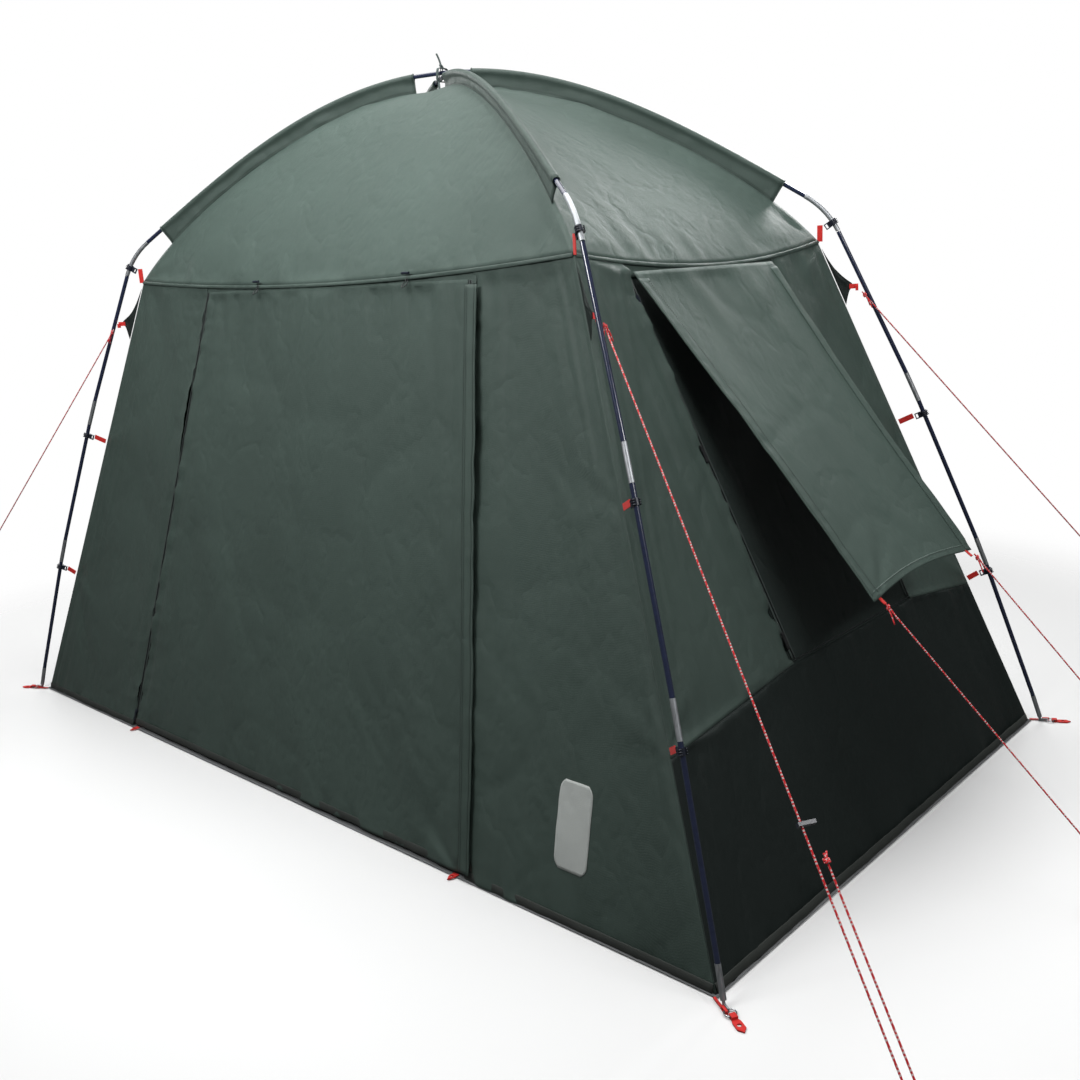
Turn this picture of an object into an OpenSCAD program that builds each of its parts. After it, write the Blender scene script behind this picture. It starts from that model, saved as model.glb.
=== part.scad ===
// Cabin tent on two crossed poles: dome roof, steep walls, an unzipping front
// door, and a side window whose cover is propped out as a small awning.
// Origin on the ground at the middle of the tent, +Z up, +X along the long
// side, the door faces -Y and the awning faces +X. Millimetres.

/* [Poles] */
// Distance between the pole feet along the long side
base_l = 3184; // [3100:1:3260]
// Distance between the pole feet along the short side
base_w = 1802; // [1760:1:1850]
// Height of the pole crossing
tent_h = 2100; // [2060:1:2150]
// Where a pole bends from roof to leg, as a share of the half diagonal
hip_share = 0.636; // [0.62:0.002:0.65]
// How far a leg bows outwards at half its height
leg_bow = 36; // [20:1:45]
// Outer diameter of a pole
pole_d = 12.7; // [12:0.1:13]
// Bore of a pole, for the elastic cord
pole_bore = 10.3; // [9:0.1:10.6]
// Outer diameter of the bent elbows, ferrules and foot tips
ferrule_d = 13.6; // [13.1:0.1:14.5]
// Length of a ferrule
ferrule_l = 85; // [70:1:95]

/* [Fabric] */
// Thickness of the cloth panels
cloth_t = 2; // [1:0.5:2.5]
// Gap between neighbouring panels at a seam
seam_gap = 2.5; // [2:0.5:4]
// Depth of the sleeve fin below a pole at the crown
fin_h = 80; // [70:1:95]
// How far the front eave seam sags at its middle
sag_front = 38; // [20:1:50]
// How far the side eave seam sags at its middle
sag_side = 45; // [20:1:55]

/* [Door] */
// Height of the door's top edge
door_top = 1476; // [1440:1:1478]
// Left end of the door's top edge
door_tl = -568; // [-600:1:-540]
// Right end of the door's top edge
door_tr = 650; // [620:1:680]
// Left end of the door's bottom edge
door_bl = -890; // [-920:1:-860]
// Right end of the door's bottom edge
door_br = 790; // [760:1:820]

/* [Window and awning] */
// Height of the window's top edge
window_top = 1468; // [1440:1:1472]
// Height of the window's bottom edge
window_bottom = 512; // [500:1:540]
// Length of the awning from its hinge seam to its free hem
awning_l = 965; // [900:1:980]
// Angle that the awning stands out from the wall
awning_open = 14; // [8:0.5:20]

/* [Hidden] */
$fn = 32;

// Corners in the order front left, front right, back right, back left
FRONT_LEFT = 0;
FRONT_RIGHT = 1;
BACK_RIGHT = 2;
BACK_LEFT = 3;
SIGN_X = [-1, 1, 1, -1];
SIGN_Y = [-1, -1, 1, 1];
// Wall faces in the order front, right, back, left
FRONT = 0;
RIGHT = 1;
BACK = 2;

// The half diagonal from the middle to a pole foot, and its direction
foot_r = norm([base_l, base_w]) / 2;
diag_x = base_l / 2 / foot_r;
diag_y = base_w / 2 / foot_r;
diag_angle = atan2(base_w, base_l);

// Roof line of a pole: a flattened dome, steep at the hip
roof_drop = 0.94;
roof_flare = 0.614;
function roof_z(r) = tent_h * (1 - roof_drop * pow(r / tent_h, 2)
                                 + roof_flare * pow(r / tent_h, 4));
function roof_slope(r) = 2 * roof_drop * (r / tent_h)
                         - 4 * roof_flare * pow(r / tent_h, 3);
hip_r = hip_share * foot_r;
hip_z = roof_z(hip_r);
roof_pitch = atan(roof_slope(hip_r));

// Leg line: straight from hip to foot, bowed outwards
function leg_r(z) = let (t = 1 - z / hip_z)
    hip_r + (foot_r - hip_r) * t + leg_bow * 4 * t * (1 - t);
leg_pitch = atan2(hip_z, foot_r - hip_r + 4 * leg_bow);
elbow_reach = 75;
elbow_turn = leg_pitch - roof_pitch;
elbow_bend_r = elbow_reach / tan(elbow_turn / 2);
arc_end_r = hip_r - elbow_reach * cos(roof_pitch);
leg_top_z = hip_z - elbow_reach * sin(leg_pitch);
// One pole passes under the other at the crown
cross_drop = pole_d + 0.8;
butt_gap = 0.3;

// Heights of the leg's joints: ferrule tops, and where the foot tip starts
ferrule_tops = [1119, 602];
tip_top_z = 86;
tip_bottom_z = 15;
clip_heights = [1575, 995, 497];

// Cloth body: bottom corners just inside the feet, eave below the hips
cloth_r = foot_r - 37;
eave_r = hip_r - 26;
eave_z = hip_z - 92;
base_x = cloth_r * diag_x;
base_y = cloth_r * diag_y;
eave_x = eave_r * diag_x;
eave_y = eave_r * diag_y;
lean_front = atan((base_y - eave_y) / eave_z);
lean_side = atan((base_x - eave_x) / eave_z);
cloth_z0 = 3.5;

function face_lean(k) = k % 2 == 0 ? lean_front : lean_side;
function face_out(k) = k % 2 == 0 ? base_y : base_x;
function face_sag(k) = k % 2 == 0 ? sag_front : sag_side;
function eave_half(k) = k % 2 == 0 ? eave_x : eave_y;
function base_half(k) = k % 2 == 0 ? base_x : base_y;
function side_u(k, z) = base_half(k) - (base_half(k) - eave_half(k)) * z / eave_z
                        - seam_gap;
function eave_at(k, u) = eave_z - face_sag(k) * (1 - pow(u / eave_half(k), 2));
function eave_run(k, u0, u1) = [for (i = [0:6]) let (u = u0 + (u1 - u0) * i / 6)
    [u, eave_at(k, u) - seam_gap]];
function corner_r(z) = cloth_r - (cloth_r - eave_r) * z / eave_z;

// Zip lines, as [u, height] from bottom to top
zip_half = 8;
door_zips = [[[door_bl, 14], [door_tl, door_top]],
             [[door_br, 14], [door_tr, door_top]]];
window_tl = -388;
window_tr = 262;
window_bl = -232;
window_br = 405;
window_zip = [[window_bl, window_bottom], [window_tl, window_top]];
lower_seam_z = 455;
flap_w = 7;
awning_hinge_w = 9;

// Rope: its routes are in millimetres, from the tent to the ground loop and
// back up to the runner
rope_d = 4;
route_front_left = [
    [-1095, -640, 1368], [-1193, -725, 1198], [-1291, -810, 1028],
    [-1389, -895, 858], [-1487, -980, 688], [-1585, -1065, 518], [-1683, -1150, 348],
    [-1781, -1235, 178], [-1876, -1317, 14], [-1876, -1326, 6], [-1868, -1334, 4],
    [-1859, -1334, 6], [-1860, -1330, 14], [-1765, -1248, 178], [-1667, -1163, 348],
    [-1569, -1078, 518]];
route_front_right = [
    [1110, -610, 1368], [1265, -700, 1198], [1420, -790, 1028],
    [1575, -880, 858], [1730, -970, 688], [1885, -1060, 518],
    [2040, -1150, 348], [2195, -1240, 178], [2344, -1327, 14],
    [2352, -1326, 6], [2358, -1320, 4], [2360, -1313, 6], [2354, -1310, 14],
    [2205, -1223, 178], [2050, -1133, 348], [1895, -1043, 518]];
route_back_right = [
    [1110, 610, 1368], [1235, 682, 1198], [1360, 754, 1028], [1485, 826, 858],
    [1610, 898, 688], [1735, 970, 518], [1860, 1042, 348], [1985, 1114, 178],
    [2106, 1183, 14], [2114, 1182, 6], [2119, 1176, 4], [2121, 1169, 6],
    [2116, 1166, 14], [1995, 1097, 178], [1870, 1025, 348], [1745, 953, 518]];
route_back_left = [
    [-1110, 610, 1368], [-1206, 664, 1198], [-1302, 718, 1028], [-1398, 772, 858],
    [-1494, 826, 688], [-1590, 880, 518], [-1686, 934, 348], [-1782, 988, 178],
    [-1875, 1040, 14], [-1882, 1039, 6], [-1887, 1033, 4], [-1889, 1026, 6],
    [-1885, 1023, 14], [-1792, 971, 178], [-1696, 917, 348], [-1600, 863, 518]];
route_awning_front = [
    [1572, -165, 672], [1680, -165, 567], [1790, -165, 459],
    [1900, -165, 352], [2010, -165, 244], [2120, -165, 137], [2246, -165, 14],
    [2252, -162, 6], [2254, -155, 4], [2252, -148, 6], [2246, -145, 14],
    [2180, -145, 79], [2110, -145, 147]];
route_awning_back = [
    [1572, 365, 672], [1680, 365, 559], [1780, 365, 455],
    [1880, 365, 350], [1980, 365, 246], [2080, 365, 141], [2202, 365, 14],
    [2208, 362, 6], [2210, 355, 4], [2208, 348, 6], [2202, 345, 14],
    [2140, 345, 79], [2070, 345, 152]];
// A runner's middle, as a share of the first strand
runner_share = 0.6;
runner_gap = 0.5;

// ---------------------------------------------------------------- helpers

function unit(v) = v / norm(v);
function on_diagonal(c, r, z) = [SIGN_X[c] * diag_x * r, SIGN_Y[c] * diag_y * r, z];
function tangents(p) = [for (i = [0:len(p) - 1])
    unit(p[min(i + 1, len(p) - 1)] - p[max(i - 1, 0)])];
// Rings of points round a path. Each loop gives an outline in the ring's own
// plane: first along side, then along the cross of tangent and side.
function rings(path, side, loops) = let (t = tangents(path))
    [for (i = [0:len(path) - 1], q = loops[i])
        path[i] + q[0] * side[i] + q[1] * cross(t[i], side[i])];
function circle_loop(d, n) = [for (k = [0:n - 1])
    d / 2 * [cos(360 * k / n), sin(360 * k / n)]];
// Faces of a skin of m rings of n points that starts at point a
function skin(a, m, n, inward = false) = [for (i = [0:m - 2], k = [0:n - 1])
    let (j = (k + 1) % n, p = a + i * n, q = p + n)
    inward ? [p + j, p + k, q + k, q + j] : [p + k, p + j, q + j, q + k]];
function cap(a, n, turn) = [turn ? [for (k = [0:n - 1]) a + n - 1 - k]
                                 : [for (k = [0:n - 1]) a + k]];
// Flat ring between an outer loop at a and an inner loop at b
function washer(a, b, n, turn) = [for (k = [0:n - 1]) let (j = (k + 1) % n)
    turn ? [a + k, b + k, b + j, a + j] : [a + k, a + j, b + j, b + k]];

module swept_rod(path, side, d, n = 8) {
    m = len(path);
    loops = [for (i = [0:m - 1]) circle_loop(d, n)];
    polyhedron(rings(path, side, loops),
        concat(skin(0, m, n, true), cap(0, n, false), cap((m - 1) * n, n, true)));
}

// A hollow sweep: outer and inner loops have as many points
module swept_tube(path, side, outer, inner) {
    m = len(path);
    n = len(outer[0]);
    b = m * n;
    polyhedron(
        concat(rings(path, side, outer), rings(path, side, inner)),
        concat(skin(0, m, n, true), skin(b, m, n),
            washer(0, b, n, false), washer(b - n, 2 * b - n, n, true)));
}

// A straight tube from p to q
module tube_between(p, q, d, bore) {
    v = q - p;
    l = norm(v);
    translate(p)
        rotate([0, acos(v[2] / l), atan2(v[1], v[0])])
            difference() {
                cylinder(d = d, h = l);
                translate([0, 0, -1]) cylinder(d = bore, h = l + 2);
            }
}

// Places its children in the frame of corner c: x outwards along the
// diagonal, y sideways, z up
module at_corner(c) {
    mirror([SIGN_X[c] < 0 ? 1 : 0, 0, 0])
        mirror([0, SIGN_Y[c] < 0 ? 1 : 0, 0])
            rotate([0, 0, diag_angle]) children();
}

// Places its children on wall face k: x along the wall, y up its slope from
// the ground, z outwards
module on_face(k) {
    rotate([0, 0, 90 * k])
        translate([0, -face_out(k), 0])
            rotate([90 - face_lean(k), 0, 0]) children();
}

// A flat panel of wall face k from [u, height] points, with its inner side
// at distance w outside the wall's own plane
module panel(k, points, w = -cloth_t, t = cloth_t) {
    on_face(k) translate([0, 0, w]) linear_extrude(t)
        polygon([for (p = points) [p[0], p[1] / cos(face_lean(k))]]);
}

// Places its children at a share of a zip line on face k, y along the zip
module on_zip(k, line, share) {
    a = [line[0][0], line[0][1] / cos(face_lean(k))];
    b = [line[1][0], line[1][1] / cos(face_lean(k))];
    p = a + share * (b - a);
    on_face(k) translate([p[0], p[1], 0])
        rotate([0, 0, atan2(a[0] - b[0], b[1] - a[1])]) children();
}

// Zip slider with its pull, lying on the outside of the tape
module zip_slider() {
    translate([0, 0, 0.4]) {
        linear_extrude(3.6)
            polygon([[-5, -8], [5, -8], [6, 3], [4, 9], [-4, 9], [-6, 3]]);
        translate([0, 0, 3.6]) linear_extrude(1.6) difference() {
            union() {
                translate([-3, -30]) square([6, 30]);
                translate([0, -30]) circle(d = 9);
            }
            translate([0, -30]) circle(d = 4);
        }
    }
}

// ------------------------------------------------------------------ poles

arc_steps = 26;
function cross_dip(c, r) = c % 2 == 1
    ? cross_drop * (1 - pow(r / arc_end_r, 2)) : 0;
function arc_path(c) = [for (i = [0:arc_steps])
    let (r = arc_end_r * (2 * i / arc_steps - 1))
    on_diagonal(c, -r, roof_z(r) - cross_dip(c, r))];
function arc_side(c) = unit([-SIGN_Y[c] * diag_y, SIGN_X[c] * diag_x, 0]);
function repeat(v, n) = [for (i = [1:n]) v];

// Roof part of the pole that starts at corner c and ends opposite
module roof_pole(c) {
    path = arc_path(c);
    color("#1b2036") swept_tube(path, repeat(arc_side(c), len(path)),
        repeat(circle_loop(pole_d, 12), len(path)),
        repeat(circle_loop(pole_bore, 12), len(path)));
}

// Bent tube between roof and leg
module elbow() {
    translate([arc_end_r, 0, roof_z(arc_end_r)])
        rotate([0, roof_pitch, 0])
            translate([butt_gap, 0, -elbow_bend_r])
                rotate([90, 0, 0]) rotate([0, 0, 90 - elbow_turn + 0.2])
                    rotate_extrude(angle = elbow_turn - 0.2, $fn = 240)
                        translate([elbow_bend_r, 0]) difference() {
                            circle(d = ferrule_d, $fn = 32);
                            circle(d = pole_bore, $fn = 32);
                        }
}

module pole_elbows() {
    color("silver") for (c = [0:3]) at_corner(c) elbow();
}

function leg_point(z) = [leg_r(z), 0, z];

// Three sections of one leg, between elbow, ferrules and foot tip
module leg_pole(c) {
    tops = [leg_top_z - 1, ferrule_tops[0] - ferrule_l, ferrule_tops[1] - ferrule_l];
    ends = [ferrule_tops[0], ferrule_tops[1], tip_top_z];
    color("#1b2036") at_corner(c) for (i = [0:2])
        tube_between(leg_point(tops[i] - butt_gap), leg_point(ends[i] + butt_gap),
            pole_d, pole_bore);
}

module pole_ferrules() {
    color("silver") for (c = [0:3], top = ferrule_tops) at_corner(c)
        tube_between(leg_point(top), leg_point(top - ferrule_l),
            ferrule_d, pole_bore);
}

module foot_tips() {
    color("silver") for (c = [0:3]) at_corner(c)
        tube_between(leg_point(tip_top_z), leg_point(tip_bottom_z),
            ferrule_d, pole_bore);
}

ring_z = 5;
ring_r = 13;
ring_wire_r = 1.6;
lug_r = foot_r + 12;
ring_mid_r = lug_r + ring_r;

// Steel pin that stands up into the pole end, with a lug for the ring
module foot_pins() {
    lean = atan2(leg_r(tip_bottom_z) - leg_r(tip_top_z), tip_top_z - tip_bottom_z);
    color("silver") for (c = [0:3]) at_corner(c) {
        translate([foot_r - 3, 0, 6]) rotate([0, -lean, 0]) cylinder(d = 7, h = 62);
        difference() {
            translate([foot_r - 8, -2, 0.6]) cube([26, 4, 9]);
            translate([lug_r, 0, ring_z]) rotate([90, 0, 0])
                cylinder(d = 6, h = 10, center = true);
        }
    }
}

// Elastic cord through the whole of each pole
module shock_cords() {
    leg = [for (z = [leg_top_z, ferrule_tops[0], ferrule_tops[1], tip_top_z + 10]) z];
    color("white") for (c = [0, 1]) {
        start = [for (i = [3:-1:0]) on_diagonal(c, leg_r(leg[i]), leg[i])];
        hip = [on_diagonal(c, hip_r - 3, hip_z - 8)];
        far_hip = [on_diagonal(c + 2, hip_r - 3, hip_z - 8)];
        finish = [for (z = leg) on_diagonal(c + 2, leg_r(z), z)];
        path = concat(start, hip, arc_path(c), far_hip, finish);
        swept_rod(path, repeat(arc_side(c), len(path)), 2.5);
    }
}

module corner_rings() {
    color("silver") for (c = [0:3]) at_corner(c)
        translate([ring_mid_r, 0, ring_z])
            rotate_extrude($fn = 64) translate([ring_r, 0]) circle(r = ring_wire_r);
}

eye_r = 5;
tail_t = 3;
eye_reach = 64;

// Red tape at each corner: a strap from the hem to the ring, and the peg
// loop that hangs on the ring's far side
module corner_webbing() {
    loop_in = ring_z - 3.1;
    loop_h = 6.2;
    color("red") for (c = [0:3]) at_corner(c) {
        difference() {
            union() {
                translate([cloth_r + 3, 4, loop_in]) cube([foot_r + 8 - cloth_r, 6, 3]);
                translate([foot_r + 4, 4, 0.4]) cube([20, 6, 9.2]);
            }
            translate([foot_r + 6, 3, loop_in]) cube([16.4, 8, loop_h]);
        }
        difference() {
            union() {
                translate([foot_r + 31, -7, 0.4]) cube([15, 14, 9.2]);
                translate([foot_r + 45, 0, 0.4]) linear_extrude(tail_t)
                    polygon([[0, -7], [0, 7], [8, 10], [30, 10], [42, 0],
                        [30, -10], [8, -10]]);
            }
            translate([foot_r + 32.6, -8, loop_in]) cube([10, 16, loop_h]);
            translate([foot_r + eye_reach, 0, -1]) cylinder(r = eye_r, h = 10);
        }
    }
}

// Middle line of the pole at height z: the elbow's arc, then straight sections
elbow_mid = [arc_end_r - elbow_bend_r * sin(roof_pitch),
             roof_z(arc_end_r) - elbow_bend_r * cos(roof_pitch)];
leg_joints = [for (z = [tip_top_z, ferrule_tops[1] - ferrule_l, ferrule_tops[1],
    ferrule_tops[0] - ferrule_l, ferrule_tops[0], leg_top_z]) [z, leg_r(z)]];
function pole_r(z) = z > leg_top_z
    ? elbow_mid[0] + sqrt(pow(elbow_bend_r, 2) - pow(z - elbow_mid[1], 2))
    : lookup(z, leg_joints);

// Places its children on a leg at height z, z up along the leg
module on_leg(z) {
    translate([pole_r(z), 0, z])
        rotate([0, -atan((pole_r(z - 5) - pole_r(z + 5)) / 10), 0]) children();
}

// Snap hook that holds a pole of diameter d
module pole_clip(d) {
    bore = d + 0.8;
    difference() {
        union() {
            cylinder(d = bore + 7.5, h = 16, center = true);
            translate([-27, -2.5, -9]) cube([20, 5, 18]);
        }
        cylinder(d = bore, h = 30, center = true);
        translate([2, -20, -10]) rotate([0, 0, 35]) cube([20, 9, 20]);
        translate([-24, -3, -6]) cube([6, 6, 12]);
    }
}

module pole_clips() {
    color("#15161a") for (c = [0:3], z = clip_heights) at_corner(c)
        on_leg(z) pole_clip(z > leg_top_z ? ferrule_d : pole_d);
}

// Red tape from the cloth's corner to a clip
module clip_straps() {
    color("red") for (c = [0:3], z = clip_heights) at_corner(c) {
        low_z = min(z - 25, eave_z - 3);
        p = [pole_r(z) - (z > leg_top_z ? 38 : 31), z - 7];
        q = [corner_r(low_z) + 5, low_z];
        v = q - p;
        translate([p[0], 0, p[1]]) rotate([0, -atan2(v[1], v[0]), 0])
            translate([0, -1, -8]) cube([norm(v), 2, 16]);
    }
}

// ------------------------------------------------------------------- roof

// Height of the roof seam below a pole, and the cloth fin between them
function fin(r) = fin_h + (roof_z(eave_r) - eave_z - fin_h) * pow(r / eave_r, 2);
function seam_point(c, r) = on_diagonal(c, r, roof_z(r) - fin(r));
roof_rows = 9;
roof_cols = 10;
crown_hole_r = 10;

// Point of the roof panel between corners c and c+1: s from crown to eave,
// t from -1 to 1 across
function roof_point(c, s, t, drop) = let (
    r = crown_hole_r + (eave_r - crown_hole_r) * s,
    a = seam_point(c, r), b = seam_point((c + 1) % 4, r),
    along = unit([b[0] - a[0], b[1] - a[1], 0]),
    out = [along[1], -along[0], 0],
    sag = face_sag(c) * pow(s, 1.5) * (1 - t * t),
    inset = 1.6 / (c % 2 == 0 ? diag_y : diag_x))
    (a + b) / 2 + (b - a) / 2 * t - t * along * inset
    + out * sag * tan(face_lean(c)) - [0, 0, sag + drop];

module roof_panel(c) {
    m = roof_rows;
    n = roof_cols + 1;
    top = [for (i = [0:m], j = [0:n - 1])
        roof_point(c, i / m, 2 * j / roof_cols - 1, 0)];
    low = [for (i = [0:m], j = [0:n - 1])
        roof_point(c, i / m, 2 * j / roof_cols - 1, cloth_t)];
    b = (m + 1) * n;
    function grid(a, turn) = [for (i = [0:m - 1], j = [0:n - 2], h = [0, 1])
        let (p = a + i * n + j, f = h == 0 ? [p, p + 1, p + n] : [p + 1, p + n + 1, p + n])
        turn ? [f[2], f[1], f[0]] : f];
    rim = concat([for (j = [0:n - 2]) j], [for (i = [0:m - 1]) i * n + n - 1],
        [for (j = [n - 1:-1:1]) m * n + j], [for (i = [m:-1:1]) i * n]);
    edge = [for (k = [0:len(rim) - 1]) let (p = rim[k], q = rim[(k + 1) % len(rim)])
        [q, p, p + b, q + b]];
    color("#5f6f69") polyhedron(concat(top, low),
        concat(grid(0, false), grid(b, true), edge));
}

// Sleeve round a pole with its fin down to the roof seam
sleeve_from = [95, 34, 95, 95];
sleeve_steps = 14;
sleeve_r = 10;
sleeve_bore_r = 7.6;

module sleeve(c) {
    r0 = sleeve_from[c];
    r1 = arc_end_r - 62;
    radii = [for (i = [0:sleeve_steps]) r0 + (r1 - r0) * i / sleeve_steps];
    path = [for (r = radii) on_diagonal(c, r, roof_z(r) - cross_dip(c, r))];
    side = arc_side(c);
    // Angles round the pole, from one side of the fin to the other
    turns = [for (k = [0:7]) 102 + k * 48];
    outer = [for (r = radii) let (
        depth = (fin(r) - cross_dip(c, r)) * cos(atan(roof_slope(r))) - 5)
        concat([for (a = turns) -sleeve_r * [cos(a), sin(a)]],
            [[-1, -depth], [1, -depth]])];
    inner = [for (r = radii) concat([for (a = turns) -sleeve_bore_r * [cos(a), sin(a)]],
        [for (a = [84, 96]) -sleeve_bore_r * [cos(a), sin(a)]])];
    color("#4c5b55") swept_tube(path, repeat(side, len(path)), outer, inner);
}

// Tape tied round the crossing, with its end standing up
module apex_tie() {
    color("#3f4b46") {
        difference() {
            translate([-5, -22, tent_h - 28]) cube([10, 44, 42]);
            translate([-6, -20, tent_h - 26]) cube([12, 40, 38]);
        }
        translate([-3, -4, tent_h + 13]) rotate([10, -14, 0]) cube([3, 8, 32]);
        for (y = [-1, 1]) translate([-4, y * 14 - 1, tent_h - fin_h + 4])
            cube([8, 2, fin_h - 31]);
    }
}

// ------------------------------------------------------------------ walls

module front_wall_left() {
    color("#46524d") panel(FRONT, concat(
        [[-side_u(FRONT, cloth_z0), cloth_z0], [door_bl - zip_half, cloth_z0]],
        eave_run(FRONT, door_tl - zip_half, -eave_x + 4)));
}

module front_wall_right() {
    color("#46524d") panel(FRONT, concat(
        [[side_u(FRONT, cloth_z0), cloth_z0], [door_br + zip_half, cloth_z0]],
        eave_run(FRONT, door_tr + zip_half, eave_x - 4)));
}

module back_wall() {
    u = side_u(BACK, cloth_z0);
    color("#46524d") panel(BACK, concat([[-u, cloth_z0], [u, cloth_z0]],
        eave_run(BACK, eave_x - 4, -eave_x + 4)));
}

// The side wall's pieces are made on the right and mirrored to the left
module side_wall_front() {
    color("#46524d") panel(RIGHT, concat(
        [[-side_u(RIGHT, lower_seam_z), lower_seam_z],
         [window_bl - zip_half, window_bottom - 10]],
        eave_run(RIGHT, window_tl - zip_half - 5, -eave_y + 4)));
}

module side_wall_back() {
    color("#46524d") panel(RIGHT, concat(
        [[side_u(RIGHT, lower_seam_z), lower_seam_z],
         [window_br + zip_half, window_bottom - 10]],
        eave_run(RIGHT, window_tr + zip_half, eave_y - 4)));
}

module side_wall_lower() {
    u = side_u(RIGHT, cloth_z0);
    v = side_u(RIGHT, lower_seam_z);
    drop = 3;
    color("#1d2523") panel(RIGHT, [[-u, cloth_z0], [u, cloth_z0],
        [v, lower_seam_z - drop], [window_br + zip_half, window_bottom - 10 - drop],
        [window_bl - zip_half, window_bottom - 10 - drop], [-v, lower_seam_z - drop]]);
}

// Insect mesh behind a window cover
module window_mesh() {
    inset = 6;
    color("#101413") panel(RIGHT, [
        [window_bl + inset, window_bottom], [window_br - inset, window_bottom],
        [window_tr - inset, window_top], [window_tl + inset, window_top]],
        -cloth_t, 1.5);
}

module window_meshes() {
    window_mesh();
    mirror([1, 0, 0]) window_mesh();
}

module groundsheet() {
    x = base_x - 3;
    y = base_y - 3;
    color("#5a5c5e") linear_extrude(cloth_t)
        polygon([[-x, -y], [x, -y], [x, y], [-x, y]]);
}

// ------------------------------------------------------------------- door

module door_panel() {
    color("#46524d") panel(FRONT, [
        [door_bl + zip_half, 14], [door_br - zip_half, 14],
        [door_tr - zip_half, door_top], [door_tl + zip_half, door_top]]);
}

// Storm flap along the right zip, sewn to the door
module door_zip_flap() {
    low = 20;
    high = door_top - 12;
    reach = 32;
    color("#46524d") panel(FRONT, [
        [door_br - zip_half - 8, low], [door_br + reach, low],
        [door_tr + reach, high], [door_tr - zip_half - 8, high]], flap_w);
}

// Tape strip along both door zips
module door_zip_tapes() {
    color("#20262a") for (line = door_zips)
        panel(FRONT, [
            [line[0][0] - 5, line[0][1]], [line[0][0] + 5, line[0][1]],
            [line[1][0] + 5, line[1][1]], [line[1][0] - 5, line[1][1]]], -1.8, 1.5);
}

// Red peg loops at the door's bottom corners
module door_peg_loops() {
    loop = [[-9, 0], [9, 0], [9, 18], [0, 34], [-9, 18]];
    color("red") for (x = [door_bl + 24, door_br - 24])
        translate([x, -base_y + 4, 3]) mirror([0, 1, 0]) linear_extrude(3)
            difference() {
                polygon(loop);
                translate([0, 16]) circle(r = 4.5);
            }
}

module door_slider_left() {
    color("#202124") on_zip(FRONT, door_zips[0], 0.03) zip_slider();
}

module door_slider_right() {
    color("#202124") on_zip(FRONT, door_zips[1], 0.03) zip_slider();
}

toggle_z = 1500;

// Bar that buttons the rolled door up, on a short loop at the eave
module door_toggle(x) {
    color("#15161a") on_face(FRONT)
        translate([x, toggle_z / cos(lean_front), 0]) {
            translate([0, 0, 11]) rotate([0, 90, 0])
                cylinder(d = 7, h = 28, center = true);
            translate([0, 0, 4]) cylinder(d = 3, h = 6);
        }
}

// ----------------------------------------------------- window and awning

// Places its children on the awning: x along its hinge seam, y up its slope
// from the hinge, z outwards
module on_awning() {
    on_face(RIGHT)
        translate([0, (window_top + 6) / cos(lean_side), awning_hinge_w])
            rotate([-awning_open, 0, 0]) children();
}

module awning_panel() {
    color("#5f6f69") on_awning() translate([0, 0, -cloth_t / 2])
        linear_extrude(cloth_t) polygon([
            [-380, -6], [252, -6], [370, -awning_l], [-200, -awning_l]]);
}

// Closed cover of the left window
module window_cover_left() {
    h = window_top + 2;
    low = window_bottom + 10;
    color("#5f6f69") mirror([1, 0, 0]) panel(RIGHT, [
        [window_bl + 8, low], [window_br - 8, low],
        [window_tr - 8, h], [window_tl + 8, h]], flap_w - 1);
}

// Tape strip along the front edge of both windows
module window_zip_tapes() {
    line = window_zip;
    for (m = [0, 1]) mirror([m, 0, 0])
        color("#20262a") panel(RIGHT, [
            [line[0][0] - 6, line[0][1]], [line[0][0] + 4, line[0][1]],
            [line[1][0] + 4, line[1][1]], [line[1][0] - 6, line[1][1]]], -1.8, 1.5);
}

module window_slider_right() {
    color("#202124") on_zip(RIGHT, window_zip, 0.94)
        translate([-8, 0, 0]) zip_slider();
}

module window_slider_left() {
    color("#202124") mirror([1, 0, 0]) on_zip(RIGHT, window_zip, 0.05)
        translate([-8, 0, 0]) zip_slider();
}

// ------------------------------------------------------------ guy ropes

// Which side of its pole each corner rope passes
tab_side = [1, -1, -1, -1];
wing_top_z = 1500;
wing_low_z = 1330;
wing_tip = [1238, 1386];

// Dark ear on each corner edge, from which the guy rope pulls
module guy_wings() {
    color("#15191a") for (c = [0:3]) at_corner(c) rotate([90, 0, 0])
        linear_extrude(cloth_t, center = true)
            polygon([[corner_r(wing_top_z) + 4, wing_top_z],
                [wing_tip[0], wing_tip[1] + 8], [wing_tip[0], wing_tip[1] - 8],
                [corner_r(wing_low_z) + 4, wing_low_z]]);
}

// Red tab at the ear's tip
module guy_tabs() {
    color("red") for (c = [0:3]) at_corner(c)
        mirror([0, tab_side[c] < 0 ? 1 : 0, 0]) {
            translate([wing_tip[0] - 8, 1.6, wing_tip[1] - 8]) cube([26, 2, 14]);
            translate([wing_tip[0] + 10, 3.6, wing_tip[1] - 14]) cube([8, 9, 14]);
        }
}

module rope(path) {
    d = unit(path[1] - path[0]);
    across = unit(cross(d, [-d[1], d[0], 0]));
    side = [for (v = tangents(path)) unit(across - (across * v) * v)];
    color("red") swept_rod(path, side, rope_d);
}

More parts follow.
